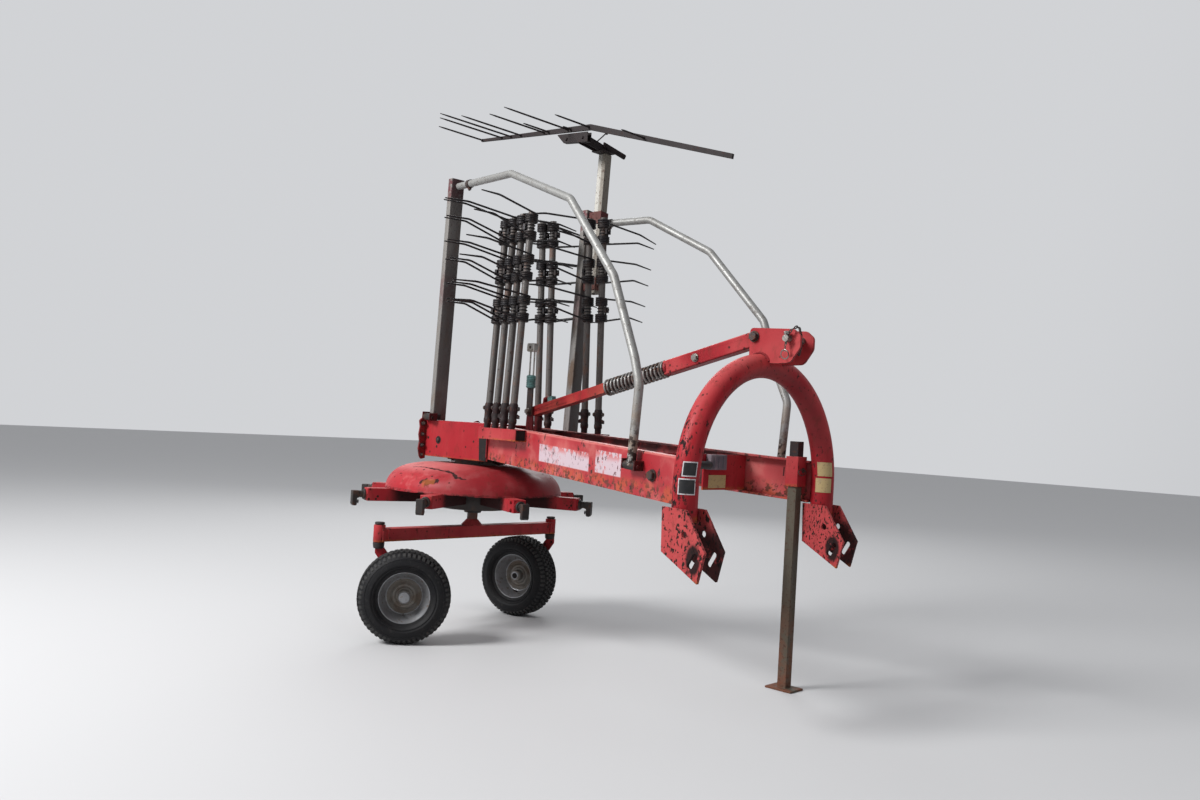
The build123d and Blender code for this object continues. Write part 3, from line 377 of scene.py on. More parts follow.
def weld_bead(work, points, radius=0.0035, finish=0):
    """A run of weld along points, with its ripples and thin ends."""
    ripple, fine = 0.0035, []
    for one, two in zip(points[:-1], points[1:]):
        one, two = Vector(one), Vector(two)
        count = max(2, int((two - one).length / ripple))
        fine += [one.lerp(two, step / count) for step in range(count)]
    fine.append(Vector(points[-1]))
    sizes = [radius * (1.0 + 0.18 * (step % 2)) for step in range(len(fine))]
    sizes[0] = sizes[-1] = radius * 0.5
    rod(work, fine, sizes, 6, finish)


def hex_bolt(work, place, axis, size, length=0.0, finish=0):
    """A hexagon head on its washer. size is the thread, in metres."""
    turned(work, place, axis, [(0, size * 1.05), (size * 0.18, size * 1.05)], 20, finish)
    head = [(size * 0.18, size * 0.86), (size * 0.68, size * 0.90), (size * 0.82, size * 0.78)]
    turned(work, place, axis, head, 6, finish)
    if length:
        turned(work, place, axis, [(size * 0.8, size * 0.5), (size * 0.8 + length, size * 0.5),
                                   (size * 0.85 + length, size * 0.42)], 14, finish)


leg_x, leg_y, arch_tube_r = 1.025, 0.430, 0.0445
slot_x, slot_z = 1.117, 0.575


def chipped_leg(coat):
    """Long dark chips up the outside and rear of the near leg, thinning towards the crown."""
    rear = coat.along(Vector((leg_x, 0, 0)), Vector((-0.75, -0.66, 0)), 0.268, 0.290)
    return coat.both(coat.blotches(84.0, 0.525, 0.545, 4.0, 6.6, (1, 1, 0.42)), rear, coat.height(1.22, 1.08),
                     coat.blotches(9.0, 0.34, 0.44, 3.0, 3.0))


def worn_slot(face_y):
    """The black place round a link slot, where the tractor's links have rubbed."""
    return lambda coat: coat.both(coat.near((slot_x, face_y, slot_z), 0.024, 0.012, (1, 1, 0.60)),
                                  coat.blotches(40.0, 0.30, 0.42, 4.0, 4.4), 0.97)


def plate_painted_shade(side, start, way):
    """Painted shade on the plate of each pair that lies in its partner's shade, from its middle down."""
    start, way = Vector((0, side * start, 0)), Vector((0, way, 0))
    return lambda coat: coat.both(coat.along(start, way, -0.002, 0.002), coat.height(0.730, 0.640),
                                  coat.blotches(22.0, 0.26, 0.42), 0.92)


weld_red = red_enamel("weld_red", 1.6, None, deep_red, fresh_red)
arch_red = red_enamel("arch_red", rust=(0.70, 0.72), fade=0.75, chipped=0.55, dirt_and_shade=[chipped_leg])
finish_node("headstock_arch", arch_red)
# side, material, faded colour, how far faded, dark places
for side_name, red_name, faded, fade, dirt_and_shade in (
        ("right", "plate_red", (0.58, 0.115, 0.105), 1.0, [worn_slot(-0.4865), plate_painted_shade(-1, 0.400, 1)]),
        ("left", "plate_red_left", fresh_red, 0.8, [worn_slot(0.3735), plate_painted_shade(1, 0.460, 1)])):
    finish_node("link_plates_" + side_name,
                red_enamel(red_name, 1.2, (0.50, 0.52), faded_red, faded, fade, 1.60, dirt_and_shade=dirt_and_shade), 0.0012)

plate_weld_low, plate_weld_top = 0.696, 0.731
work = bmesh.new()
for side in (-1, 1):
    for weld_y in (0.3895, 0.4705):
        for edge_x in (-0.030, 0.030):
            weld_bead(work, [(leg_x + edge_x, side * weld_y, plate_weld_low),
                             (leg_x + edge_x, side * weld_y, plate_weld_top)], 0.005)
steel_piece("link_plate_welds", work, [weld_red], "chassis")

sign_black = worn_finish("sign_black", ((0.010, 0.010, 0.012), 0.45), [
    ((30.0, 0.48, 0.66), 0.55, (0.035, 0.030, 0.030), 0.6)], (80.0, 0.4, 0.7, 0.0002))
sign_border = worn_finish("sign_border", ((0.55, 0.52, 0.54), 0.45), [
    ((60.0, 0.52, 0.64), 1, (0.26, 0.16, 0.15), 0.7)], (120.0, 0.4, 0.7, 0.0002))
sign_yellow = worn_finish("sign_yellow", ((0.42, 0.31, 0.145), 0.48), [
    ((22.0, 0.45, 0.66, 5.0), 0.6, (0.28, 0.22, 0.14), 0.6),
    ((130.0, 0.58, 0.66, 3.0), 0.7, (0.18, 0.10, 0.06), 0.7)], (90.0, 0.4, 0.7, 0.0002))
arch_spring_z, sticker_lift, sticker_thick = 0.820, 0.0008, 0.0010


def leg_sticker(work, side, bearing, half_turn, low, high, border):
    """A sticker that follows the round and the bend of a leg, from low to high, about a bearing."""
    def point(share, level, out):
        lean_in = (leg_y ** 2 - max(0.0, level - arch_spring_z) ** 2) ** 0.5
        turn, reach = bearing + share * half_turn, arch_tube_r + sticker_lift + out
        across = side * lean_in + sin(turn) * reach * leg_y / lean_in
        return Vector((leg_x + cos(turn) * reach, across, level))

    inner = 1.0 - border / (arch_tube_r * half_turn)
    for finish, width, out, low_z, high_z in ((1, 1.0, 0.0, low, high),
                                              (0, inner, 0.0004, low + border, high - border)):
        levels = [low_z + (high_z - low_z) * rise / 5 for rise in range(6)]
        skin(work, [[point(width * (step / 5 - 1), level, out) for level in levels]
                    + [point(width * (step / 5 - 1), level, out - sticker_thick) for level in levels[::-1]]
                    for step in range(11)], finish)


# name, border, finishes, slot, then each sign's side, bearing and half width in degrees, low and high edge
for sign_name, border, finishes, slot, signs in (
        ("leg_sign_plates", 0.004, [sign_black, sign_border], "arm_steel",
         [(-1, -38.5, 34.0, 0.8437, 0.894), (-1, -46.5, 40.0, 0.783, 0.837)]),
        ("leg_stickers", 0.0005, [sign_yellow, sign_yellow], "red_paint",
         [(1, -45.6, 40.0, 0.849, 0.904), (1, -53.3, 42.0, 0.785, 0.841)])):
    work = bmesh.new()
    for side, bearing, half_turn, low, high in signs:
        leg_sticker(work, side, radians(bearing), radians(half_turn), low, high, border)
    steel_piece(sign_name, work, finishes, "chassis")

# Mast bracket: two plates saddled and welded on the crown of the arch, with the pin for the top
# link and the bolt that carries the stay. The pin is bright steel and is kept by a linch pin on a
# short chain.


def cut_plate(work, corners, set_down, thickness, steps=3):
    """A plate with rounded corners. Each corner is given as its two places and the radius of its
    bend, and set_down turns two places into a point."""
    line = []
    for number, (across, height_up, bend) in enumerate(corners):
        corner = Vector((across, height_up))
        back = (Vector(corners[number - 1][:2]) - corner).normalized()
        ahead = (Vector(corners[(number + 1) % len(corners)][:2]) - corner).normalized()
        half = back.angle(ahead) / 2
        centre = corner + (back + ahead).normalized() * bend / sin(half)
        start, stop = corner + back * bend / tan(half) - centre, corner + ahead * bend / tan(half) - centre
        sweep = -start.angle_signed(stop)
        line += [centre + Matrix.Rotation(sweep * step / steps, 2) @ start for step in range(steps + 1)]
    plate(work, [set_down(place.x, place.y) for place in line], thickness)


def chain(work, points, link_length, wire):
    """A chain of oval links along points, each turned square to the one before."""
    points = [Vector(point) for point in points]
    run, turned_link = 0.0, False
    for one, two in zip(points[:-1], points[1:]):
        ahead = (two - one).normalized()
        sides = square_to(ahead)
        while run < (two - one).length:
            middle, across, reach = one + ahead * run, sides[turned_link] * 0.30, ahead * 0.60
            rod(work, [middle + (reach * cos(pi * step / 5) + across * sin(pi * step / 5)) * link_length
                       for step in range(11)], wire, 6)
            run += link_length
            turned_link = not turned_link
        run -= (two - one).length


pin_steel = worn_finish("pin_steel", ((0.30, 0.28, 0.26), 0.34, 0.9), [
    ((38.0, 0.48, 0.66, 5.0), 1, (0.10, 0.065, 0.05), 0.7)], (120.0, 0.4, 0.7, 0.0003))
# Dark bolt steel, also used for dark discs that stand for holes: painted shade there.
dark_bolt_and_hole_shade = worn_finish("dark_bolt_and_hole_shade", ((0.055, 0.042, 0.040), 0.5, 0.5), [
    ((60.0, 0.5, 0.66), 1, (0.12, 0.05, 0.03), 0.8)], (150.0, 0.4, 0.7, 0.0003))
mast_face_y, mast_inner_y, saddle_r = 0.048, 0.038, 0.046
# place along the machine, height, bend
mast_outline = [(0.978, 1.262, 0.004), (0.978, 1.389, 0.014), (1.166, 1.380, 0.022), (1.1965, 1.356, 0.020),
                (1.1965, 1.312, 0.028), (1.158, 1.258, 0.030), (1.090, 1.256, 0.010)]
work = bmesh.new()
for side in (-1, 1):
    cut_plate(work, mast_outline, lambda x, z: (x, side * mast_inner_y, z),
              (0, side * (mast_face_y - mast_inner_y), 0), 6)
steel_piece("mast_bracket", work, [red_enamel("mast_red", fade=1.0)], "chassis", ["mast_plates"],
            rounding=0.0012)
finish_node("mast_pins", pin_steel, 0.0015)
stay_bolt = Vector((0.999, 0, 1.356))
clip_x, clip_y, clip_z, ring_r, ring_drop = 1.149, -0.066, 1.345, 0.016, 0.058
work = bmesh.new()
rod(work, [(clip_x, clip_y, clip_z + 0.020), (clip_x, clip_y, clip_z - 0.022)], 0.0045)
turned(work, (clip_x, clip_y, clip_z + 0.013), straight_up,
       [(0, 0.006), (0.002, 0.0105), (0.010, 0.0105), (0.013, 0.006)], 18)
rod(work, [(clip_x + ring_r * sin(pi * step / 10), clip_y - 0.005 - 0.003 * cos(pi * step / 10),
            clip_z - ring_drop + ring_r * cos(pi * step / 10)) for step in range(21)], 0.0022, 8)
chain(work, [(clip_x, clip_y - 0.004, clip_z - 0.006), (clip_x, clip_y - 0.005, clip_z - 0.044)],
      0.0095, 0.0012)
steel_piece("linch_pin", work, [pin_steel], "chassis")
work = bmesh.new()
chain(work, [(1.153, -0.070, 1.350), (1.168, -0.066, 1.374), (1.180, -0.052, 1.386), (1.182, -0.036, 1.384),
             (1.184, -0.026, 1.360), (1.184, -0.022, 1.318), (1.176, -0.020, 1.290), (1.160, -0.018, 1.300),
             (1.156, -0.018, 1.330)], 0.012, 0.0022)
steel_piece("pin_chain", work, [dark_bolt_and_hole_shade], "chassis")
work = bmesh.new()
for side in (-1, 1):
    hex_bolt(work, stay_bolt + Vector((0, side * (mast_face_y + 0.001), 0)), (0, side, 0), 0.020)
    weld_bead(work, [(leg_x + saddle_r * sin(radians(turn)), side * (mast_face_y + 0.001),
                      1.250 + saddle_r * cos(radians(turn))) for turn in range(-75, 76, 15)], 0.004, 1)
steel_piece("mast_bolt_and_welds", work, [dark_bolt_and_hole_shade, weld_red], "chassis")

# Sprung stay: a red square tube on the mast bolt, a coil spring wound from round wire, and a red
# tube that slides inside it and is pinned to the frame. The spring is bare and dull, and the tube
# inside it is laid near black: painted shade between its turns.
stay_foot = Vector((-0.225, 0, 1.042))
stay_way = (stay_bolt - stay_foot).normalized()
stay_front_length, spring_length, spring_outer, spring_wire = 0.465, 0.338, 0.0360, 0.0050
spring_end = stay_bolt - stay_way * stay_front_length
# Painted shade: the rear tube is laid near black along the length the spring covers.
shade_in_spring = [lambda coat: coat.both(coat.along(spring_end, -stay_way, spring_length, spring_length - 0.010),
                                    0.97)]
stay_rear_red = red_enamel("stay_rear_red", 1.5, None, fresh_red, (0.50, 0.12, 0.07), 0.8, dirt_and_shade=shade_in_spring)
tie_red = red_enamel("tie_red", 1.4, None, (0.075, 0.008, 0.010), deep_red, chipped=0.9)
finish_node("stay_front_tube", red_enamel("stay_red", fade=1.0), 0.002)
finish_node("stay_rear_tube", stay_rear_red, 0.0015)
finish_node("stay_tie", tie_red, 0.0012)
spring_bare = worn_finish("spring_bare", ((0.27, 0.26, 0.25), 0.46, 0.75), [
    ((24.0, 0.46, 0.62, 5.0), 1, (0.12, 0.10, 0.09), 0.7),
    ((70.0, 0.55, 0.65), 0.7, (0.20, 0.09, 0.05), 0.85)], (200.0, 0.4, 0.7, 0.0002))
spring_turns, turn_steps, closed_pitch = 17, 28, 2.1 * spring_wire
open_turns, open_run = spring_turns - 2, spring_length - 2 * closed_pitch - 2 * spring_wire
up, over = square_to(stay_way)
wire = []
for step in range(spring_turns * turn_steps + 1):
    turns = step / turn_steps
    reach = (min(turns, 1.0) + max(turns - spring_turns + 1, 0)) * closed_pitch
    reach += min(max(turns - 1, 0), open_turns) / open_turns * open_run
    round_way = up * cos(2 * pi * turns) + over * sin(2 * pi * turns)
    wire.append(spring_end - stay_way * (spring_wire + reach) + round_way * (spring_outer - spring_wire))
work = bmesh.new()
rod(work, wire, spring_wire, 8)
steel_piece("stay_coil_spring", work, [spring_bare], "chassis", ["stay_spring"], 60)
work = bmesh.new()
turned(work, spring_end + stay_way * 0.006, -stay_way, [
    (-0.006, 0.03015), (-0.002, 0.0324), (0.004, 0.0324), (0.006, 0.03015), (0.006, 0.018), (-0.006, 0.018)],
    28, loop=True)
steel_piece("spring_cup", work, [weld_red], "chassis")
work = bmesh.new()
for bolt_at, bolt_y, bolt_size in ((stay_bolt - stay_way * 0.300, 0.0255, 0.016), (stay_foot, 0.043, 0.014)):
    for side in (-1, 1):
        hex_bolt(work, bolt_at + Vector((0, side * bolt_y, 0)), (0, side, 0), bolt_size)
steel_piece("stay_bolts", work, [pin_steel], "chassis")

# Lock beside the foot of the stay: a zinc plated head with a hole, on two thin rods, with a moulded
# teal grip below it and a flat steel bracket under the stay's bolt.


def slab(work, low, high, finish=0):
    """A square block between two opposite corners."""
    (x, y, z), (x_to, y_to, z_to) = low, high
    plate(work, [(x, y, z), (x_to, y, z), (x_to, y_to, z), (x, y_to, z)], (0, 0, z_to - z), finish)


def rounded_square(half_wide, half_deep, bend):
    """The outline of a rectangle with rounded corners, about its middle."""
    return [(sign_wide * (half_wide - bend) + bend * cos(radians(start + 30 * step)),
             sign_deep * (half_deep - bend) + bend * sin(radians(start + 30 * step)))
            for sign_wide, sign_deep, start in ((1, 1, 0), (-1, 1, 90), (-1, -1, 180), (1, -1, 270))
            for step in range(4)]


zinc = worn_finish("zinc", ((0.40, 0.39, 0.37), 0.42, 0.55), [
    ((18.0, 0.44, 0.62, 5.0), 1, (0.24, 0.22, 0.19), 0.6),
    ((55.0, 0.56, 0.66, 5.0), 0.8, rust_dark, 0.85)], (150.0, 0.4, 0.7, 0.0002))
teal_grip = worn_finish("teal_grip", ((0.085, 0.20, 0.19), 0.55), [
    ((35.0, 0.45, 0.65, 5.0), 0.6, (0.045, 0.075, 0.07), 0.8)], (110.0, 0.4, 0.7, 0.0004))
lock_x, lock_y, lock_low, head_z = -0.225, -0.034, 1.146, 1.331
work = bmesh.new()
slab(work, (lock_x - 0.017, lock_y - 0.004, 1.026), (lock_x + 0.017, lock_y + 0.004, lock_low), 3)
grip = [(0, 0.015), (0.004, 0.0205), (0.010, 0.022)]
for rib in range(5):
    grip += [(0.014 + rib * 0.008, 0.0195), (0.018 + rib * 0.008, 0.022)]
turned(work, (lock_x, lock_y, lock_low), straight_up, grip + [(0.056, 0.0205), (0.060, 0.015)], 28, 2)
for rod_x in (lock_x - 0.013, lock_x + 0.013):
    rod(work, [(rod_x, lock_y, 1.204), (rod_x, lock_y, 1.314)], 0.004, 10)
plate(work, [(lock_x + x, lock_y + 0.009, head_z + z) for x, z in rounded_square(0.024, 0.019, 0.008)],
      (0, -0.024, 0))
turned(work, (lock_x, lock_y - 0.0152, head_z), (0, -1, 0),
       [(0, 0.0125), (0.0015, 0.0125), (0.0015, 0.0075), (0, 0.0075)], 24, loop=True)
# The hole in the head is a dark disc: painted shade inside it.
turned(work, (lock_x, lock_y - 0.0150, head_z), (0, -1, 0), [(0, 0.0075), (0.0004, 0.0075)], 24, 3)
steel_piece("lock_lever", work, [zinc, weld_red, teal_grip, dark_bolt_and_hole_shade], "chassis",
            ["stay_lock"])


# Hook and rubber buffer on the rear tube of the stay: a bent red strap and a dark teal block,
# welded on top of the tube.
def block(work, corner, one, two, three, finish=0):
    """A block given by one corner and the vectors along its three edges."""
    plate(work, [corner, corner + one, corner + one + two, corner + two], three, finish)


hook_at = stay_foot + stay_way * 0.060 + Vector((0, -0.010, 0.021))
buffer_at = stay_foot + stay_way * 0.100 + Vector((0, -0.013, 0.019))
work = bmesh.new()
plate(work, [hook_at + Vector((reach, 0, rise)) for reach, rise in
             ((0.000, 0.000), (0.004, 0.028), (0.022, 0.036), (0.030, 0.030), (0.024, 0.024), (0.012, 0.020),
              (0.010, 0.0))], (0, 0.020, 0))
block(work, buffer_at, stay_way * 0.030, up * 0.024, (0, 0.026, 0), 1)
steel_piece("stay_hook", work, [weld_red, teal_grip], "chassis", rounding=0.002)

# Frame: a folded box over the rotor and two flanged side members that flare from it to the arch,
# joined by the cross plate. Red enamel with rust along the lower flanges, and the bare patches of
# two old stickers on the right member.
flare_from, flare_to = Vector((-0.363, -0.142, 0)), Vector((0.981, -0.418, 0))
flare_way = (flare_to - flare_from).normalized()
flare_out = Vector((flare_way.y, -flare_way.x, 0))


def member_enamel(name, base, patches=(), shade_from=None):
    """Member paint, with the pale remains of stickers: start, length, low and high height, wear.
    shade_from is the place along the machine where the painted shade on the inner face begins."""
    coat = Coat(name, base, 0.45)
    coat.stain((3.0, 0.40, 0.62, 3.0), 0.85, faded_red, 0.58)
    coat.stain((12.0, 0.46, 0.70, 5.0), 0.4, (0.58, 0.20, 0.17), 0.62)
    # Painted shade: faces that look down are laid deep red.
    coat.cover((coat.facing(straight_down, -0.3, 0.6), 0.5), deep_red)
    flange_up, sloped = flare_way * 0.034 + Vector((0, 0, 1)), flare_way * 0.049 + Vector((0, 0, 1))
    low = coat.along(flare_from + Vector((0, 0, 0.814)), flange_up, 0.050, 0.006)
    coat.cover((low, coat.blotches(17.0, 0.42, 0.60, 6.0, 6.0), 0.72), (0.42, 0.072, 0.022), 0.85)
    pits = coat.both(low, coat.blotches(58.0, 0.535, 0.56, 4.0, 8.0, (1, 1, 0.8)))
    coat.cover((pits, 0.85), rust_dark, 0.9)
    rim_light = coat.along(flare_from + Vector((0, 0, 0.972)), sloped, -0.009, -0.004)
    coat.cover((rim_light, 0.7), (0.62, 0.17, 0.15), 0.5)
    bare = coat.both(coat.edges(0.003), coat.blotches(30.0, 0.42, 0.54, 5.0, 1.7))
    flecks = coat.both(coat.blotches(64.0, 0.60, 0.62, 4.0, 5.0, (1, 1, 0.55)),
                       coat.blotches(6.0, 0.48, 0.58, 3.0, 9.0))
    for start, end, low, high, torn in patches:
        inside = coat.both(coat.along(flare_from, flare_way, start - 0.002, start + 0.003),
                           coat.along(flare_from, flare_way, end + 0.002, end - 0.003),
                           coat.along(flare_from, sloped, low - 0.002, low + 0.003),
                           coat.along(flare_from, sloped, high + 0.002, high - 0.003))
        top_torn = coat.both(coat.along(flare_from, sloped, low + 0.040, high - 0.002),
                             coat.blotches(34.0, 0.48, 0.51, 4.0, 3.3, (1.3, 1.3, 0.9)))
        half_way = (start + end) / 2
        streaked = coat.both(coat.blotches(50.0, 0.575, 0.595, 4.0, 2.0, (1.4, 1.4, 0.6)), torn,
                             coat.along(flare_from, flare_way, half_way + 0.03, half_way - 0.02))
        left_on = coat.numbers("SUBTRACT", 1.0, coat.either(top_torn, streaked))
        coat.cover((inside, 0.5), (0.60, 0.19, 0.18), 0.6)
        coat.cover((inside, left_on, 0.92), (0.52, 0.43, 0.47), 0.55)
        coat.cover((inside, coat.blotches(60.0, 0.60, 0.615, 4.0, 5.0, (1.2, 1.2, 0.6)), torn),
                 (0.10, 0.02, 0.02), 0.8)
    chips = coat.either(bare, flecks)
    coat.cover((chips, 0.9), bare_brown, 0.85)
    # Painted shade: the inner face of the left member, which looks to the right, is laid near black behind
    # the given place.
    if shade_from is not None:
        behind = coat.along(Vector((shade_from, 0, 0)), Vector((1, 0, 0)), 0.12, 0.0)
        inner_face = coat.facing((0, -1, 0), 0.2, 0.6)
        coat.cover((behind, inner_face, coat.blotches(9.0, 0.30, 0.50, 4.0, 2.0), 0.88),
                   (0.022, 0.005, 0.006), 0.7)
    coat.relief(chips, -0.0004)
    coat.relief(pits, -0.0006)
    coat.relief(coat.blotches(220.0, 0.3, 0.7, 2.0), 0.00012, 0.5)
    return coat.done()


# piece, finish, rounding
for node_name, finish, rounding in (
        ("rear_box", red_enamel("box_red", 1.0, (0.800, 0.812), fade=0.25), 0.002),
        ("cross_plate", red_enamel("cross_red", 1.0, (0.766, 0.785), fade=0.4), 0.001),
        ("side_member_right", member_enamel("member_red_right", fresh_red, [
            (0.452, 0.826, 0.857, 0.929, 0.45), (0.870, 1.040, 0.861, 0.947, 1.0)]), 0.0015),
        ("side_member_left", member_enamel("member_red_left", (0.33, 0.018, 0.022), shade_from=0.62), 0.0015),
        ("rack_right", red_enamel("rack_red", 1.2, (0.908, 0.918), fade=1.0), 0.0015),
        ("rack_left", red_enamel("rack_red_dark", 1.3, None, deep_red, fresh_red), 0.0015)):
    finish_node(node_name, finish, rounding)


def on_side(side, point, level=0.0):
    """A place or way of the right member's, on the side given and at a height."""
    return Vector((point.x, -side * point.y, level))


# Painted shade: near black standing for the dark inside of holes and open ends.
painted_shade_black = worn_finish("painted_shade_black", ((0.006, 0.004, 0.004), 0.9), [
    ((60.0, 0.5, 0.7), 1, (0.016, 0.009, 0.008), 0.9)], (200.0, 0.4, 0.7, 0.0002))
box_side_y, box_rear_x = 0.150, -0.835
member_bolt_at = flare_from + flare_way * 1.233 + flare_out * 0.0045
work = bmesh.new()
for side in (-1, 1):
    # The holes in the box side are near-black discs: painted shade inside them.
    # place along the machine, height and radius of the holes in the side of the box
    for hole_x, hole_z, hole_r in ((-0.732, 0.883, 0.019), (-0.812, 0.891, 0.006), (-0.742, 0.851, 0.006),
                                   (-0.465, 0.889, 0.005)):
        turned(work, (hole_x, side * (box_side_y + 0.0002), hole_z), (0, side, 0),
               [(0, hole_r), (0.0006, hole_r), (0.0008, hole_r * 0.9)], 22, 1)
    turned(work, (-0.730, side * (box_side_y + 0.0008), 0.884), (0, side, 0),
           [(0, 0.0085), (0.006, 0.0085), (0.008, 0.006)], 16)
    hex_bolt(work, on_side(side, member_bolt_at, 0.832), on_side(side, flare_out), 0.021)
steel_piece("frame_bolts", work, [dark_bolt_and_hole_shade, painted_shade_black], "chassis")

flange_dark = red_enamel("flange_dark", 1.6, None, (0.13, 0.012, 0.014), (0.34, 0.035, 0.04), 0.5, 1.0)
# distance out from the box side, height, bend of the end flange's outline
flange_outline = [
    (-0.004, 0.790, 0.002), (-0.004, 0.978, 0.002), (0.022, 0.986, 0.008), (0.040, 0.972, 0.010),
    (0.034, 0.942, 0.004), (0.039, 0.905, 0.010), (0.033, 0.870, 0.004), (0.038, 0.835, 0.010),
    (0.030, 0.800, 0.004), (0.020, 0.784, 0.008)]
work = bmesh.new()
for side in (-1, 1):
    cut_plate(work, flange_outline, lambda y, z: (box_rear_x - 0.009, side * (box_side_y + y), z),
              (0.008, 0, 0))
    for bolt_z, bolt_size in ((0.957, 0.012), (0.905, 0.010), (0.852, 0.011), (0.806, 0.009)):
        bolt_y = side * (box_side_y + 0.018)
        hex_bolt(work, (box_rear_x - 0.001, bolt_y, bolt_z), (1, 0, 0), bolt_size, 0.006, 1)
        hex_bolt(work, (box_rear_x - 0.0085, bolt_y, bolt_z), (-1, 0, 0), bolt_size, 0, 1)
steel_piece("box_end_flanges", work, [flange_dark, dark_bolt_and_hole_shade], "chassis", rounding=0.001)

rack_low, rack_high, rack_half, seat_out = 0.9122, 0.9538, 0.0228, 0.031
# Painted shade: near-black plates close the open ends of each rack, and stand on each side of the box where
# the member's rear end meets it.
work = bmesh.new()
# side, gap to the member, first and last end of the rack along it
for side, gap, rack_start, rack_end in ((-1, 0.0, 0.0, 0.338), (1, 0.020, -0.056, 0.362)):
    wide = on_side(side, flare_out)
    for along_at, facing in ((rack_start + 0.005, -1), (rack_end - 0.005, 1)):
        place = on_side(side, flare_from + flare_way * along_at + flare_out * (seat_out + gap), rack_low)
        block(work, place - wide * rack_half, wide * 2 * rack_half, Vector((0, 0, rack_high - rack_low)),
              on_side(side, flare_way) * facing * 0.001)
    plate(work, [(x, side * (box_side_y + 0.0003), z) for x, z in
                 ((-0.416, 0.806), (-0.368, 0.803), (-0.368, 0.906), (-0.424, 0.906))], (0, side * 0.0025, 0))
steel_piece("rack_ends", work, [painted_shade_black], "chassis")

# foot and head of each weld, on one side, and its radius
frame_seams = [((-0.3655, 0.1515, 0.818), (-0.3655, 0.1515, 0.968), 0.004),
               ((0.9805, 0.4215, 0.742), (0.989, 0.4215, 0.742), 0.004),
               ((0.9805, 0.4215, 0.904), (0.989, 0.4215, 0.904), 0.004),
               ((0.9795, 0.4215, 0.744), (0.9795, 0.4215, 0.902), 0.0045)]
work = bmesh.new()
for side in (-1, 1):
    for start, end, radius in frame_seams:
        weld_bead(work, [(x, side * y, z) for x, y, z in (start, end)], radius)
steel_piece("frame_welds", work, [weld_red], "chassis")

# Rest for the drive shaft on the cross plate: a moulded grey block with a black rubber grip lying
# across it, and a blank yellow sticker on the plate below.
block_grey = worn_finish("block_grey", ((0.115, 0.095, 0.115), 0.6), [
    ((28.0, 0.44, 0.64, 5.0), 1, (0.19, 0.15, 0.17), 0.75)], (90.0, 0.4, 0.7, 0.0004))
grip_black = worn_finish("grip_black", ((0.018, 0.016, 0.017), 0.55), [
    ((50.0, 0.5, 0.7), 1, (0.06, 0.04, 0.038), 0.8)], (160.0, 0.4, 0.7, 0.0003))
rest_x, rest_low, rest_high, rest_left, rest_right = 0.703, 0.848, 0.908, 0.190, 0.086
work = bmesh.new()
slab(work, (rest_x, rest_right, rest_low), (rest_x + 0.026, rest_left, rest_high))
for rib in range(3):
    rib_y = rest_right + 0.018 + rib * 0.030
    slab(work, (rest_x + 0.025, rib_y, rest_low + 0.008), (rest_x + 0.030, rib_y + 0.008, rest_high - 0.008))
grip = [(-0.002, 0.006), (0.0, 0.013), (0.006, 0.016)]
for rib in range(9):
    grip += [(0.012 + rib * 0.010, 0.0145), (0.017 + rib * 0.010, 0.016)]
turned(work, (rest_x + 0.018, -0.016, 0.866), (0, 1, 0), grip + [(0.106, 0.016)], 24, 1)
steel_piece("drive_shaft_rest", work, [block_grey, grip_black], "chassis", ["shaft_rest"],
            rounding=0.002)
work = bmesh.new()
slab(work, (rest_x + 0.0002, 0.108, 0.774), (rest_x + 0.0010, 0.220, 0.826))
steel_piece("cross_plate_sticker", work, [sign_yellow], "chassis")

# Gearbox in the frame over the rotor, a dark casting, with its splined stub for the drive shaft.
# Six bolts hold the cover round the stub, and four hold the foot to the rotor's housing.
cast_dark = worn_finish("cast_dark", ((0.034, 0.026, 0.023), 0.62), [
    ((9.0, 0.46, 0.68, 6.0), 1, (0.085, 0.052, 0.036), 0.8),
    ((34.0, 0.55, 0.68, 5.0), 0.8, (0.022, 0.018, 0.018), 0.45)], (140.0, 0.35, 0.7, 5.0, 0.0007))
finish_node("gearbox", cast_dark, 0.003)
finish_node("drive_stub", pin_steel)
work = bmesh.new()
for turn in range(30, 390, 60):
    hex_bolt(work, (-0.430, 0.026 * sin(radians(turn)), 0.816 + 0.026 * cos(radians(turn))), (1, 0, 0), 0.006)
for corner_x, corner_y in ((-0.700, -0.080), (-0.700, 0.080), (-0.500, -0.080), (-0.500, 0.080)):
    hex_bolt(work, (corner_x, corner_y, 0.794), straight_down, 0.010)
steel_piece("gearbox_bolts", work, [dark_bolt_and_hole_shade], "chassis")

# Rotor: a pressed dome of thin sheet over the cam housing, eight square arm holders welded round the
# housing, and in each holder a forged claw on a shaft that takes the foot of a tine arm.
rotor_x = -0.625
rotor_foot = Vector((rotor_x, 0, 0))
coat = Coat("dome_red", fresh_red, 0.45, specular=0.22)
coat.stain((4.0, 0.36, 0.60), 0.6, faded_red, 0.58)
# Painted highlight: the top of the dome on the side towards the light is laid paler.
painted_highlight_side = coat.along(rotor_foot, Vector((-0.8, -0.6, 0)), -0.20, 0.22)
coat.cover((coat.height(0.725, 0.772), painted_highlight_side, 0.85), (0.62, 0.20, 0.195), 0.6)
coat.stain((16.0, 0.48, 0.70, 5.0), 0.35, (0.62, 0.24, 0.23), 0.65)
# Painted shadow: the dome darkens towards the front, where the members shade it.
coat.cover((coat.along(rotor_foot, Vector((1, 0, 0)), 0.02, 0.34), 0.75), deep_red)
# Painted shade: faces that look down are laid near black.
coat.cover((coat.facing(straight_down, -0.3, 0.6), 0.85), (0.05, 0.006, 0.007), 0.8)
coat.stain((44.0, 0.56, 0.68, 5.0, 3.0), 0.35, rust_dark, 0.8)
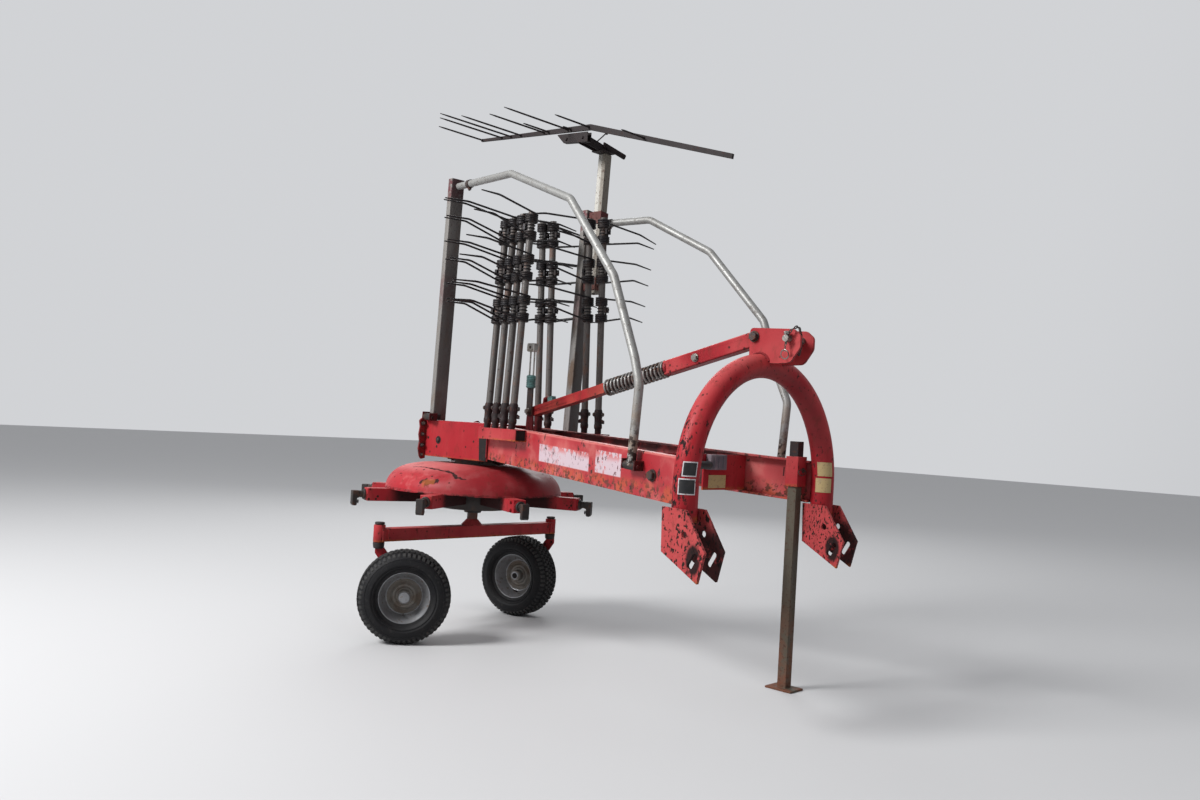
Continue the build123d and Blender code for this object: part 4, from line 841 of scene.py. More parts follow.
# the ends, seen from above, and the half width of each piece of the two creases and of the dents
for start, end, width in (
        ((-0.676, -0.326), (-0.562, -0.312), 0.0030), ((-0.562, -0.312), (-0.475, -0.286), 0.0038),
        ((-0.475, -0.286), (-0.424, -0.290), 0.0060), ((-0.424, -0.290), (-0.386, -0.298), 0.0055),
        ((-0.386, -0.298), (-0.352, -0.274), 0.0024), ((-0.745, -0.270), (-0.722, -0.236), 0.0028),
        ((-0.490, -0.384), (-0.445, -0.354), 0.0055), ((-0.520, -0.392), (-0.500, -0.378), 0.0050)):
    # Painted shade: each crease and dent is laid near black along its line, and sunk a little.
    crease = coat.scratch(start, end, width * 1.7, 0.010)
    coat.cover((crease, 0.95), (0.022, 0.008, 0.008), 0.8)
    coat.relief(crease, -0.0012)
coat.cover((coat.scratch((-0.505, -0.388), (-0.462, -0.366), 0.011, 0.008), 0.6), rust_orange, 0.85)
chips = coat.either(coat.both(coat.edges(0.003), coat.blotches(26.0, 0.46, 0.56, 5.0)),
                    coat.both(coat.spots(26.0, 0.17), coat.blotches(7.0, 0.54, 0.60, 3.0)))
coat.cover((chips, 0.9), bare_brown, 0.85)
coat.relief(coat.blotches(200.0, 0.3, 0.7, 2.0), 0.00015, 0.5)
sheet_thick, dome_steps = 0.0035, 144
# radius and height of the pressed sheet, from the mouth to the lip
dome_line = [
    (0.1205, 0.7780), (0.160, 0.7780), (0.220, 0.7765), (0.262, 0.7730), (0.300, 0.7660), (0.329, 0.7580),
    (0.3525, 0.7480), (0.372, 0.7360), (0.3895, 0.7205), (0.402, 0.7050), (0.411, 0.6880), (0.4160, 0.6730),
    (0.4180, 0.6605), (0.4195, 0.6535)]
# bearing in degrees, radius, width and depth of each dent
dome_dents = [(-66.0, 0.330, 0.060, 0.010), (-80.0, 0.372, 0.040, 0.007), (-112.0, 0.300, 0.080, 0.006),
              (-50.0, 0.290, 0.045, 0.006), (20.0, 0.340, 0.070, 0.007), (150.0, 0.320, 0.080, 0.008),
              (100.0, 0.380, 0.040, 0.006), (-20.0, 0.390, 0.035, 0.004)]
both_sides = [(reach, level) for reach, level in dome_line]
both_sides += [(reach, level - sheet_thick) for reach, level in dome_line[::-1]]
rings = []
for reach, level in both_sides:
    ring = []
    for step in range(dome_steps):
        bearing = 2 * pi * step / dome_steps
        x, y = reach * cos(bearing), reach * sin(bearing)
        sink = 0.0
        for dent_way, dent_r, dent_wide, dent_deep in dome_dents:
            off = hypot(x - dent_r * cos(radians(dent_way)), y - dent_r * sin(radians(dent_way)))
            sink += dent_deep * exp(-(off / dent_wide) ** 2)
        wave = 0.0012 * sin(5 * bearing + 1.0) + 0.0008 * sin(13 * bearing)
        wave *= max(0.0, (reach - 0.30) / 0.115)
        ring.append(Vector((rotor_x + x, y, level - sink + wave)))
    rings.append(ring)
work = bmesh.new()
skin(work, rings, loop=True)
turned(work, (rotor_x, 0, 0.6555), straight_up,
       [(0.0032 * sin(pi * step / 4), 0.4165 + 0.0032 * cos(pi * step / 4)) for step in range(8)], dome_steps,
       loop=True)
steel_piece("rotor_dome", work, [coat.done()], "rotor", ["rotor_cover"], 40)
finish_node("rotor_hub", cast_dark, 0.002)
# Painted shade: the holders are laid near black under the dome, within 0.375 m of the rotor's middle.
holder_red = red_enamel("holder_red", 1.3, None, fade=0.5, chipped=0.6, dirt_and_shade=[
    lambda coat: coat.both(coat.near(rotor_foot, 0.375, 0.075, (1, 1, 0)), 0.93)])
finish_node("arm_holders", holder_red, 0.003)
claw_iron = worn_finish("claw_iron", ((0.022, 0.017, 0.016), 0.55, 0.3), [
    ((30.0, 0.50, 0.64, 5.0), 1, (0.070, 0.036, 0.026), 0.85)], (120.0, 0.35, 0.7, 5.0, 0.0005))
# distance out from the claw's root, and height
claw_side = [(-0.002, 0.016), (0.028, 0.016), (0.028, -0.044), (0.022, -0.052), (0.010, -0.052),
             (0.006, -0.046), (0.006, -0.018), (-0.002, -0.016)]
holder_z, holder_tip, claw_root, claw_half, shaft_r = 0.623, 0.528, 0.564, 0.017, 0.016
work, collars = bmesh.new(), bmesh.new()
for arm in range(8):
    bearing = radians(-16.5 + 45 * arm)
    out, across = Vector((cos(bearing), sin(bearing), 0)), Vector((-sin(bearing), cos(bearing), 0))

    def spot(reach, rise=0.0):
        return Vector((rotor_x, 0, holder_z + rise)) + out * reach

    turned(work, spot(holder_tip - 0.010), out, [(0, shaft_r - 0.0002), (0.046, shaft_r - 0.0002)], 24)
    turned(work, spot(holder_tip + 0.002), out,
           [(0, shaft_r), (0, 0.0235), (0.010, 0.0235), (0.013, 0.020), (0.013, shaft_r)], 24, loop=True)
    plate(work, [spot(claw_root + reach, rise) - across * claw_half for reach, rise in claw_side],
          across * 2 * claw_half)
    for rise in (-0.004, -0.034):
        turned(work, spot(claw_root - 0.0045, rise), out, [(0, 0.0080), (0.002, 0.0095), (0.004, 0.0095)], 16)
    turned(collars, spot(holder_tip - 0.001), out,
           [(0, shaft_r + 0.001), (0, 0.0270), (0.004, 0.0270), (0.005, 0.025), (0.005, shaft_r + 0.001)],
           28, loop=True)
    for rise in (-0.018, 0.018):
        hex_bolt(collars, spot(holder_tip - 0.030, rise) - across * 0.0292, -across, 0.009)
    weld_bead(collars, [spot(0.420, 0.0292) - across * 0.026, spot(0.420, 0.0292) + across * 0.026], 0.004)
steel_piece("holder_claws", work, [claw_iron], "rotor", ["arm_claws"], rounding=0.002)
steel_piece("holder_collars", collars, [holder_red], "rotor")

# Running gear: the fixed main shaft comes down through the rotor to a square crossbar, with a sleeve
# at each end for a castor. Each castor is a cranked flat leg welded under its swivel pin.
finish_node("main_shaft", worn_finish("axle_grey", ((0.075, 0.055, 0.050), 0.55, 0.3), [
    ((20.0, 0.45, 0.65, 5.0), 1, (0.15, 0.06, 0.04), 0.8)], (120.0, 0.4, 0.7, 0.0003)))
bar_red = red_enamel("bar_red", 1.3, (0.427, 0.440), (0.42, 0.038, 0.042), fresh_red, 0.7)
finish_node("crossbar", bar_red, 0.003)
castor_red = red_enamel("castor_red", 1.4, (0.18, 0.23), (0.42, 0.038, 0.042), fresh_red, 0.7)
pivot_y, castor_trail, leg_offset, wheel_offset, wheel_z = 0.520, 0.125, 0.018, 0.080, 0.202
# distance behind the pivot, height, bend of the flat leg's outline
leg_outline = [(-0.015, 0.404, 0.002), (0.020, 0.404, 0.002), (0.138, 0.248, 0.014), (0.144, 0.190, 0.014),
               (0.112, 0.180, 0.012), (0.096, 0.216, 0.012), (-0.015, 0.374, 0.008)]
# foot height, faces and distance up with radius, of the three turned parts of the swivel
swivel_parts = [(0.396, 30, [(0, 0.0205), (0.003, 0.0235), (0.020, 0.0255), (0.026, 0.0255)]),
                (0.420, 24, [(0, 0.0160), (0.084, 0.0160)]),
                (0.502, 28, [(0, 0.0205), (0.002, 0.0220), (0.008, 0.0220), (0.010, 0.0195)])]
castors = []
for side_name, side, angle in (("right", -1, radians(55.0)), ("left", 1, radians(195.0))):
    trailing = Vector((cos(angle), sin(angle), 0))
    inward = Vector((-trailing.y, trailing.x, 0)) * side
    pivot = Vector((rotor_x, side * pivot_y, 0))
    axle = pivot + trailing * castor_trail + Vector((0, 0, wheel_z))
    castors.append((side_name, inward, axle + inward * wheel_offset))
    work = bmesh.new()
    cut_plate(work, leg_outline,
              lambda reach, z: pivot + trailing * reach - inward * (leg_offset + 0.006) + Vector((0, 0, z)),
              inward * 0.012, 4)
    for foot_z, steps, profile in swivel_parts:
        turned(work, pivot + Vector((0, 0, foot_z)), straight_up, profile, steps, 1)
    axle_end = axle - inward * (leg_offset + 0.010)
    turned(work, axle_end, inward, [(0, 0.0190), (0.004, 0.0200), (0.016, 0.0200), (0.018, 0.0138),
                                    (leg_offset + wheel_offset + 0.048, 0.0138)], 28, 1)
    hex_bolt(work, axle_end + inward * 0.001, -inward, 0.014, 0.004, 1)
    steel_piece("castor_fork_" + side_name, work, [castor_red, claw_iron], "castor_" + side_name,
                ["castor_leg_" + side_name], rounding=0.0012)
work = bmesh.new()
turned(work, (rotor_x, 0, 0.484), straight_up,
       [(0, 0.050), (0.004, 0.050), (0.010, 0.044), (0.026, 0.030), (0.030, 0.0252)])
turned(work, (rotor_x, 0, 0.545), straight_up,
       [(0, 0.026), (0, 0.040), (0.018, 0.046), (0.0205, 0.046)], finish=1)
for weld_x, weld_y in ((-0.031, -0.4915), (0.031, -0.4915), (-0.031, 0.4915), (0.031, 0.4915)):
    weld_bead(work, [(rotor_x + weld_x, weld_y, 0.431), (rotor_x + weld_x, weld_y, 0.480)], 0.004)
steel_piece("crossbar_fittings", work, [bar_red, claw_iron], "chassis")

# Wheels: pressed silver rims with a deep dish and a turned hub, and low pressure tyres with small
# block tread. The rims are scuffed and stained brown round the hub, and the rubber is dusty.
rim_silver = worn_finish("rim_silver", ((0.27, 0.275, 0.29), 0.38, 0.55), [
    ((16.0, 0.42, 0.66, 5.0), 0.55, (0.17, 0.165, 0.16), 0.6),
    ((60.0, 0.56, 0.66), 0.6, (0.16, 0.11, 0.08), 0.8)], (150.0, 0.4, 0.7, 0.0002))
hub_brown = worn_finish("hub_brown", ((0.20, 0.185, 0.165), 0.5, 0.2), [
    ((16.0, 0.42, 0.64, 5.0), 0.6, (0.13, 0.085, 0.055), 0.8)], (150.0, 0.4, 0.7, 0.0003))
tyre_black = worn_finish("tyre_black", ((0.0045, 0.0045, 0.0060), 0.6), [
    ((8.0, 0.46, 0.70, 6.0), 0.4, (0.022, 0.021, 0.020), 0.85),
    ((70.0, 0.58, 0.70), 0.4, (0.050, 0.047, 0.044), 0.9)], (180.0, 0.35, 0.7, 4.0, 0.0004), 0.3)
tread_dust = worn_finish("tread_dust", ((0.013, 0.013, 0.014), 0.8), [
    ((14.0, 0.38, 0.60, 5.0), 1, (0.038, 0.037, 0.036), 0.9)], (180.0, 0.35, 0.7, 4.0, 0.0004))
tyre_r, axle_r, bead_r, tread_depth, blocks = 0.202, 0.014, 0.111, 0.006, 54
# distance out along the axle and radius, round the section of the pressed rim
rim_profile = [
    (-0.056, 0.124), (-0.052, 0.128), (-0.047, 0.110), (-0.030, 0.106), (-0.018, 0.090), (0.018, 0.090),
    (0.030, 0.106), (0.047, 0.110), (0.052, 0.128), (0.056, 0.124), (0.0575, 0.121), (0.054, 0.108),
    (0.046, 0.103), (0.026, 0.094), (0.010, 0.085), (0.000, 0.080), (-0.002, 0.076), (0.000, 0.073),
    (-0.006, 0.066), (-0.011, 0.060), (-0.008, 0.056), (-0.002, 0.050), (-0.003, 0.042), (0.004, 0.036),
    (0.006, 0.024), (-0.014, 0.024), (-0.014, 0.058), (-0.008, 0.074), (-0.006, 0.084), (-0.020, 0.087),
    (-0.036, 0.101), (-0.054, 0.108), (-0.0575, 0.121)]
hub_profile = [(-0.042, axle_r + 0.0002), (-0.042, 0.027), (-0.038, 0.029), (0.029, 0.029), (0.034, 0.026),
               (0.034, axle_r + 0.0002)]
# half of the tyre's section, from the middle of the tread to the bead
half_wall = [
    (0.0, 0.196), (0.030, 0.1955), (0.050, 0.191), (0.062, 0.185), (0.071, 0.176), (0.077, 0.162),
    (0.0795, 0.146), (0.0785, 0.144), (0.074, 0.133), (0.066, 0.126), (0.0605, 0.123), (0.0585, 0.119),
    (0.0565, 0.111)]
carcass = [(-reach, radius) for reach, radius in half_wall[::-1]] + half_wall[1:]
# place across the tread and shift in blocks of each row, then half the width of a block across and round
block_rows = [(-0.0565, 0.5, 0.0088, 0.0080), (-0.0365, 0.0, 0.0070, 0.0085), (-0.0185, 0.5, 0.0070, 0.0085),
              (0.0, 0.0, 0.0070, 0.0085), (0.0185, 0.5, 0.0070, 0.0085), (0.0365, 0.0, 0.0070, 0.0085),
              (0.0565, 0.5, 0.0088, 0.0080)]
for side_name, inward, middle in castors:
    one, two = square_to(inward)
    work = bmesh.new()
    turned(work, middle, inward, rim_profile, 64, loop=True)
    turned(work, middle, inward, hub_profile, 40, 1, loop=True)
    for face in work.faces:
        off = face.calc_center_median() - middle
        if (off - inward * off.dot(inward)).length < 0.0775:
            face.material_index = 1
    valve_at = middle - one * 0.083 + inward * 0.004
    rod(work, [valve_at, valve_at + inward * 0.020 + one * 0.004, valve_at + inward * 0.034 + one * 0.010],
        0.0036, 10, 2)
    steel_piece("wheel_rim_" + side_name, work, [rim_silver, hub_brown, grip_black], "wheel_" + side_name,
                ["rim_" + side_name], 28)
    work = bmesh.new()
    if side_name == "right":
        turned(work, middle, inward, [(0.0335, axle_r), (0.0335, 0.0235), (0.036, 0.0255), (0.047, 0.0255),
                                      (0.052, 0.022), (0.054, 0.016)], 36)
    else:
        turned(work, middle, inward, [(0.0345, 0.0115), (0.0345, 0.021), (0.037, 0.021), (0.037, 0.0115)], 28,
               loop=True)
        # The open middle of the far cap is closed by a near-black disc: painted shade in the hole.
        turned(work, middle, inward, [(0.0382, 0.0139), (0.0390, 0.0139)], 24, 1)
    steel_piece("hub_cap_" + side_name, work, [rim_silver, painted_shade_black], "wheel_" + side_name)

    work = bmesh.new()
    turned(work, middle, inward, carcass + [(0.050, bead_r), (-0.050, bead_r)], 80, loop=True)
    # the raised rings on the side walls: radius, distance out and thickness
    for ring_r, ring_reach, thick in ((0.136, 0.0762, 0.0016), (0.170, 0.0742, 0.0014)):
        for face_side in (-1, 1):
            turned(work, middle, inward, [(face_side * (ring_reach + thick * cos(pi * step / 4)),
                                           ring_r + thick * (sin(pi * step / 4) - 0.5)) for step in range(8)],
                   72, loop=True)
    for reach, shift, half_across, half_round in block_rows:
        shoulder = (reach > 0.05) - (reach < -0.05)
        top = tyre_r - max(0.0, abs(reach) - 0.030) ** 2 * 11.0
        for turn in [2 * pi * (block_number + shift) / blocks for block_number in range(blocks)]:
            rings = []
            for sunk, shrink in ((tread_depth + 0.010, 1.05), (0.0012, 0.96), (0.0002, 0.82)):
                ring = []
                for step_turn, step_across in ((-1, -1), (1, -1), (1, 1), (-1, 1)):
                    slope = -0.0095 if step_across * shoulder > 0 else 0.0
                    spin = turn + step_turn * half_round / tyre_r * 0.86 * shrink
                    ring.append(middle + (one * cos(spin) + two * sin(spin)) * (top - sunk + slope)
                                + inward * (reach + step_across * half_across * shrink + 0.004 * shoulder))
                rings.append(ring)
            skin(work, rings, 1)
    steel_piece("wheel_tyre_" + side_name, work, [tyre_black, tread_dust], "wheel_" + side_name,
                ["tyre_" + side_name], 32)

# Parking stand: a square leg in a sleeve that is welded to the left member and held by a pin on a
# wire loop. The leg is bare and olive brown, black and greasy at the top and rusty at the foot.
coat = Coat("stand_steel", (0.085, 0.070, 0.048), 0.6, 0.2)
coat.stain((8.0, 0.40, 0.62, 5.0, 0, (1, 1, 0.3)), 1, (0.060, 0.046, 0.032), 0.7)
coat.cover((coat.height(0.45, 0.05), coat.blotches(16.0, 0.36, 0.58, 6.0)), (0.16, 0.060, 0.032), 0.85)
coat.lay(coat.height(0.900, 0.925), (0.016, 0.008, 0.009), 0.45)
coat.stain((90.0, 0.56, 0.64), 0.7, rust_dark, 0.9)
coat.relief(coat.blotches(120.0, 0.35, 0.7, 5.0), 0.0005)
finish_node("stand_leg", coat.done(), 0.002)
finish_node("stand_sleeve", red_enamel("sleeve_red", 1.3, (0.80, 0.815), fade=0.9), 0.002)
pin_y, pin_z, sleeve_front = 0.362, 0.866, 0.9755
work = bmesh.new()
rod(work, [(sleeve_front + 0.006, pin_y, pin_z), (sleeve_front - 0.065, pin_y, pin_z)], 0.0055)
turned(work, (sleeve_front, pin_y, pin_z), (1, 0, 0), [(0, 0.0115), (0.002, 0.0115)], 20, 1)
rod(work, [(sleeve_front + 0.009 + 0.002 * sin(pi * step / 6), pin_y - 0.020 + 0.026 * cos(pi * step / 12),
            pin_z - 0.008 + 0.012 * sin(pi * step / 12)) for step in range(25)], 0.0018, 6, 1)
steel_piece("stand_pin", work, [pin_steel, dark_bolt_and_hole_shade], "chassis")

# Tine arms: eight steel tubes drawn off the rotor and stood in the racks, each with a forged foot.
# Three double spring tines are clamped to each tube: one bar of round spring steel that is coiled
# round the tube above and below its clamp and runs out to two cranked prongs.
arm_grey = worn_finish("arm_grey", ((0.130, 0.120, 0.114), 0.45, 0.35), [
    ((5.0, 0.40, 0.64, 5.0, 0, (1, 1, 0.35)), 0.7, (0.085, 0.072, 0.066), 0.6),
    ((30.0, 0.52, 0.66, 5.0, 0, (1, 1, 0.5)), 0.6, (0.15, 0.075, 0.05), 0.8),
    ((90.0, 0.60, 0.68), 0.8, (0.035, 0.028, 0.026), 0.8)], (160.0, 0.4, 0.7, 4.0, 0.0003))
foot_maroon = worn_finish("foot_maroon", ((0.020, 0.008, 0.009), 0.55), [
    ((24.0, 0.44, 0.60, 5.0), 1, (0.018, 0.012, 0.012), 0.7),
    ((60.0, 0.56, 0.64), 0.7, (0.085, 0.032, 0.022), 0.85)], (120.0, 0.35, 0.7, 5.0, 0.0006), 0.3)
tine_black = worn_finish("tine_black", ((0.014, 0.012, 0.014), 0.45, 0.4), [
    ((24.0, 0.46, 0.66, 5.0), 1, (0.030, 0.022, 0.020), 0.6),
    ((80.0, 0.60, 0.68), 0.5, (0.085, 0.040, 0.026), 0.8)], (220.0, 0.4, 0.7, 3.0, 0.0002))
rack_top, arm_tube_r, arm_length, arm_lean, left_lift = 0.958, 0.0155, 0.952, radians(2.5), 0.045
coil_mean, tine_r, coil_length, tine_reach, tine_tip = 0.0245, 0.0045, 0.042, 0.278, 0.122
tine_rise, tine_kink, coil_turns, coil_steps = radians(8.0), radians(12.0), 4, 18
coil_heights = [arm_length - 0.027 - pair * 0.180 - lower * 0.078 for pair in range(3) for lower in (0, 1)]
coil_drop = (coil_length - 2 * tine_r) / coil_turns
foot_profile = [(0.0004, 0.0150), (0.020, 0.0150), (0.026, 0.0185), (0.040, 0.0190), (0.044, 0.0175),
                (0.070, 0.0175), (0.074, 0.0190), (0.104, 0.0190), (0.112, 0.0160)]
# row, side, gap to the member, then for each arm: distance along the rack, turn and twist in degrees
arm_rows = [("right_rear", -1, 0.0, [(0.030, 4.0, 2.0), (0.105, -2.0, 3.0)]),
            ("right_front", -1, 0.0, [(0.180, 186.0, 0.0), (0.255, 14.0, -4.0)]),
            ("left_rear", 1, 0.020, [(-0.031, 3.0, -2.0), (0.029, -4.0, -1.0)]),
            ("left_front", 1, 0.020, [(0.238, 186.0, 0.0), (0.314, 0.0, -2.0)])]
for row_name, side, gap, arms in arm_rows:
    tubes, tines = bmesh.new(), bmesh.new()
    lift = left_lift if side > 0 else 0.0
    top = arm_length + lift
    lean = Vector((0, -side * sin(arm_lean), cos(arm_lean)))
    for along_rack, turn, twist in arms:
        seat = on_side(side, flare_from + flare_way * along_rack + flare_out * (seat_out + gap), rack_top)
        turned(tubes, seat, lean, foot_profile, 22, 1)
        turned(tubes, seat, lean, [(0.108, arm_tube_r), (top, arm_tube_r), (top, arm_tube_r - 0.003),
                                   (top - 0.030, arm_tube_r - 0.003)], 22)
        bolt_way = Vector((cos(radians(turn + 20)), sin(radians(turn + 20)), 0))
        bolt_way = (bolt_way - lean * bolt_way.dot(lean)).normalized()
        for facing in (bolt_way, -bolt_way):
            hex_bolt(tubes, seat + lean * 0.089 + facing * 0.0188, facing, 0.010, 0, 2)
        lug_side = lean.cross(bolt_way)
        plate(tubes, [seat + lean * rise + bolt_way * reach - lug_side * 0.006 for reach, rise in
                      ((0.012, 0.046), (0.029, 0.046), (0.029, 0.060), (0.012, 0.070))], lug_side * 0.012, 1)
        for level, coil_height in enumerate(coil_heights):
            bearing = radians(turn + twist * level)
            level_out = Vector((sin(bearing), side * cos(bearing), 0))
            across = Vector((-level_out.y, level_out.x, 0))
            rise = 0.0 if side > 0 and level == 0 else tine_rise
            way, tip_way = [level_out * cos(slope) + Vector((0, 0, sin(slope)))
                            for slope in (rise, rise - tine_kink)]
            middle = seat + lean * (coil_height + lift)
            knee = middle + across * coil_mean + way * tine_reach
            tip = knee + tip_way * tine_tip
            down = lean if level % 2 else -lean
            first = middle - down * (coil_length / 2 - tine_r)
            route = [tip, knee.lerp(tip, 0.06)]
            route += [knee.lerp(first + across * coil_mean, share) for share in (0.03, 0.35, 0.7, 0.95)]
            wind = square_to(lean, across)[0]
            wind_side = -(level_out - lean * level_out.dot(lean)).normalized()
            for step in range(coil_turns * coil_steps + coil_steps // 2 + 1):
                spin = 2 * pi * step / coil_steps
                route.append(first + down * min(step / coil_steps, coil_turns) * coil_drop
                             + (wind * cos(spin) + wind_side * sin(spin)) * coil_mean)
            route.append(first + down * (coil_turns * coil_drop + 0.020) - wind * coil_mean)
            rod(tines, route, [tine_r * 0.62] + [tine_r] * (len(route) - 1), 8)
            if level % 2 == 0:
                saddle = middle - lean * 0.039 - wind * (arm_tube_r + 0.006)
                block(tines, saddle - wind_side * 0.013 - lean * 0.013, wind_side * 0.026, lean * 0.026,
                      -wind * 0.012)
                hex_bolt(tines, saddle - wind * 0.0115, -wind, 0.009)
                band = circle(middle, wind, wind_side, arm_tube_r + 0.0022, 16)
                for clamp_z in (0.032, 0.046):
                    rod(tines, [spot - lean * clamp_z for spot in band + band[:1]], 0.0026, 6)
    steel_piece("arm_tubes_" + row_name, tubes, [arm_grey, foot_maroon, dark_bolt_and_hole_shade], "chassis")
    steel_piece("spring_tines_" + row_name, tines, [tine_black], "chassis",
                ["tine_arms_" + row_name], 50)

# Guards: each a rectangular post and a bent galvanised tube that fold out together about the line
# through their two hinges. The tube's rear end is clamped through the post near its top.
coat = Coat("tube_pale", (0.31, 0.31, 0.30), 0.45, 0.4)
coat.stain((9.0, 0.42, 0.66, 5.0), 0.6, (0.24, 0.235, 0.225), 0.6)
coat.stain((45.0, 0.52, 0.66, 5.0), 0.5, (0.15, 0.135, 0.12), 0.75)
coat.cover((coat.height(1.30, 0.90), coat.blotches(14.0, 0.34, 0.60, 6.0)), (0.24, 0.185, 0.145), 0.75)
coat.stain((110.0, 0.60, 0.68), 0.8, (0.10, 0.07, 0.055), 0.85)
coat.cover((coat.height(1.04, 0.93), coat.blotches(46.0, 0.46, 0.54)), (0.030, 0.018, 0.015), 0.8)
coat.relief(coat.blotches(160.0, 0.4, 0.7), 0.0002)
tube_pale = coat.done()


def post_finish(name, foot, top_z, fore, brown):
    """Post finish: weathered zinc, with old maroon paint at the top and brown stains down its length.
    The face that looks ahead is laid dark: painted shade on the face turned from the light."""
    coat = Coat(name, (0.215, 0.207, 0.200), 0.5, 0.3)
    coat.stain((6.0, 0.38, 0.62, 5.0, 0, (1, 1, 0.25)), 0.75, (0.21, 0.195, 0.18), 0.6)
    coat.stain((20.0, 0.50, 0.66, 5.0, 0, (1, 1, 0.4)), brown, (0.17, 0.115, 0.08), 0.75)
    band = [coat.height(foot.z + 0.52, foot.z + 0.60), coat.height(foot.z + 0.74, foot.z + 0.66), 0.5]
    old = coat.either(coat.height(top_z - 0.13, top_z - 0.07), coat.both(*band))
    coat.cover((old, coat.blotches(40.0, 0.66, 0.50, 5.0)), (0.115, 0.030, 0.036), 0.6)
    # Painted shade: the face that looks ahead is laid dark grey.
    ahead = coat.along(foot, fore, post_depth / 2 - 0.0035, post_depth / 2 - 0.0010)
    coat.cover((ahead, coat.blotches(5.0, 0.25, 0.50, 4.0, 1.0, (1, 1, 0.3)), 0.62),
               (0.045, 0.038, 0.038), 0.65)
    coat.stain((100.0, 0.60, 0.68), 0.7, (0.06, 0.045, 0.04), 0.85)
    coat.relief(coat.blotches(140.0, 0.4, 0.7), 0.0003)
    return coat.done()


def rounded_path(corners, radius, steps=9):
    """A line through corners, each rounded with a bend of the given radius."""
    line = [corners[0]]
    for before, corner, after in zip(corners[:-2], corners[1:-1], corners[2:]):
        back, ahead = (before - corner).normalized(), (after - corner).normalized()
        half = back.angle(ahead) / 2
        cut = radius / tan(half)
        centre = corner + (back + ahead).normalized() * (radius / sin(half))
        start, stop = corner + back * cut - centre, corner + ahead * cut - centre
        sweep, axis = start.angle(stop), start.cross(stop).normalized()
        line += [centre + Matrix.Rotation(sweep * step / steps, 3, axis) @ start for step in range(steps + 1)]
    return line + [corners[-1]]


def square_tube(work, foot, head, wide, width, depth, wall, bend, finish=0):
    """A rectangular hollow bar with rounded corners. wide is the direction its width lies in."""
    along_bar = (head - foot).normalized()
    wide = (wide - along_bar * wide.dot(along_bar)).normalized()
    deep = along_bar.cross(wide)
    rings = []
    for end, less in ((foot, 0), (head, 0), (head, wall), (foot, wall)):
        outline = rounded_square(width / 2 - less, depth / 2 - less, max(0.0008, bend - less))
        rings.append([end + wide * across + deep * through for across, through in outline])
    skin(work, rings, finish, True)


guard_tube_r, post_width, post_depth, post_wall = 0.01685, 0.070, 0.040, 0.003
barrel_r, barrel_half, hinge_hole = 0.016, 0.031, 0.0084
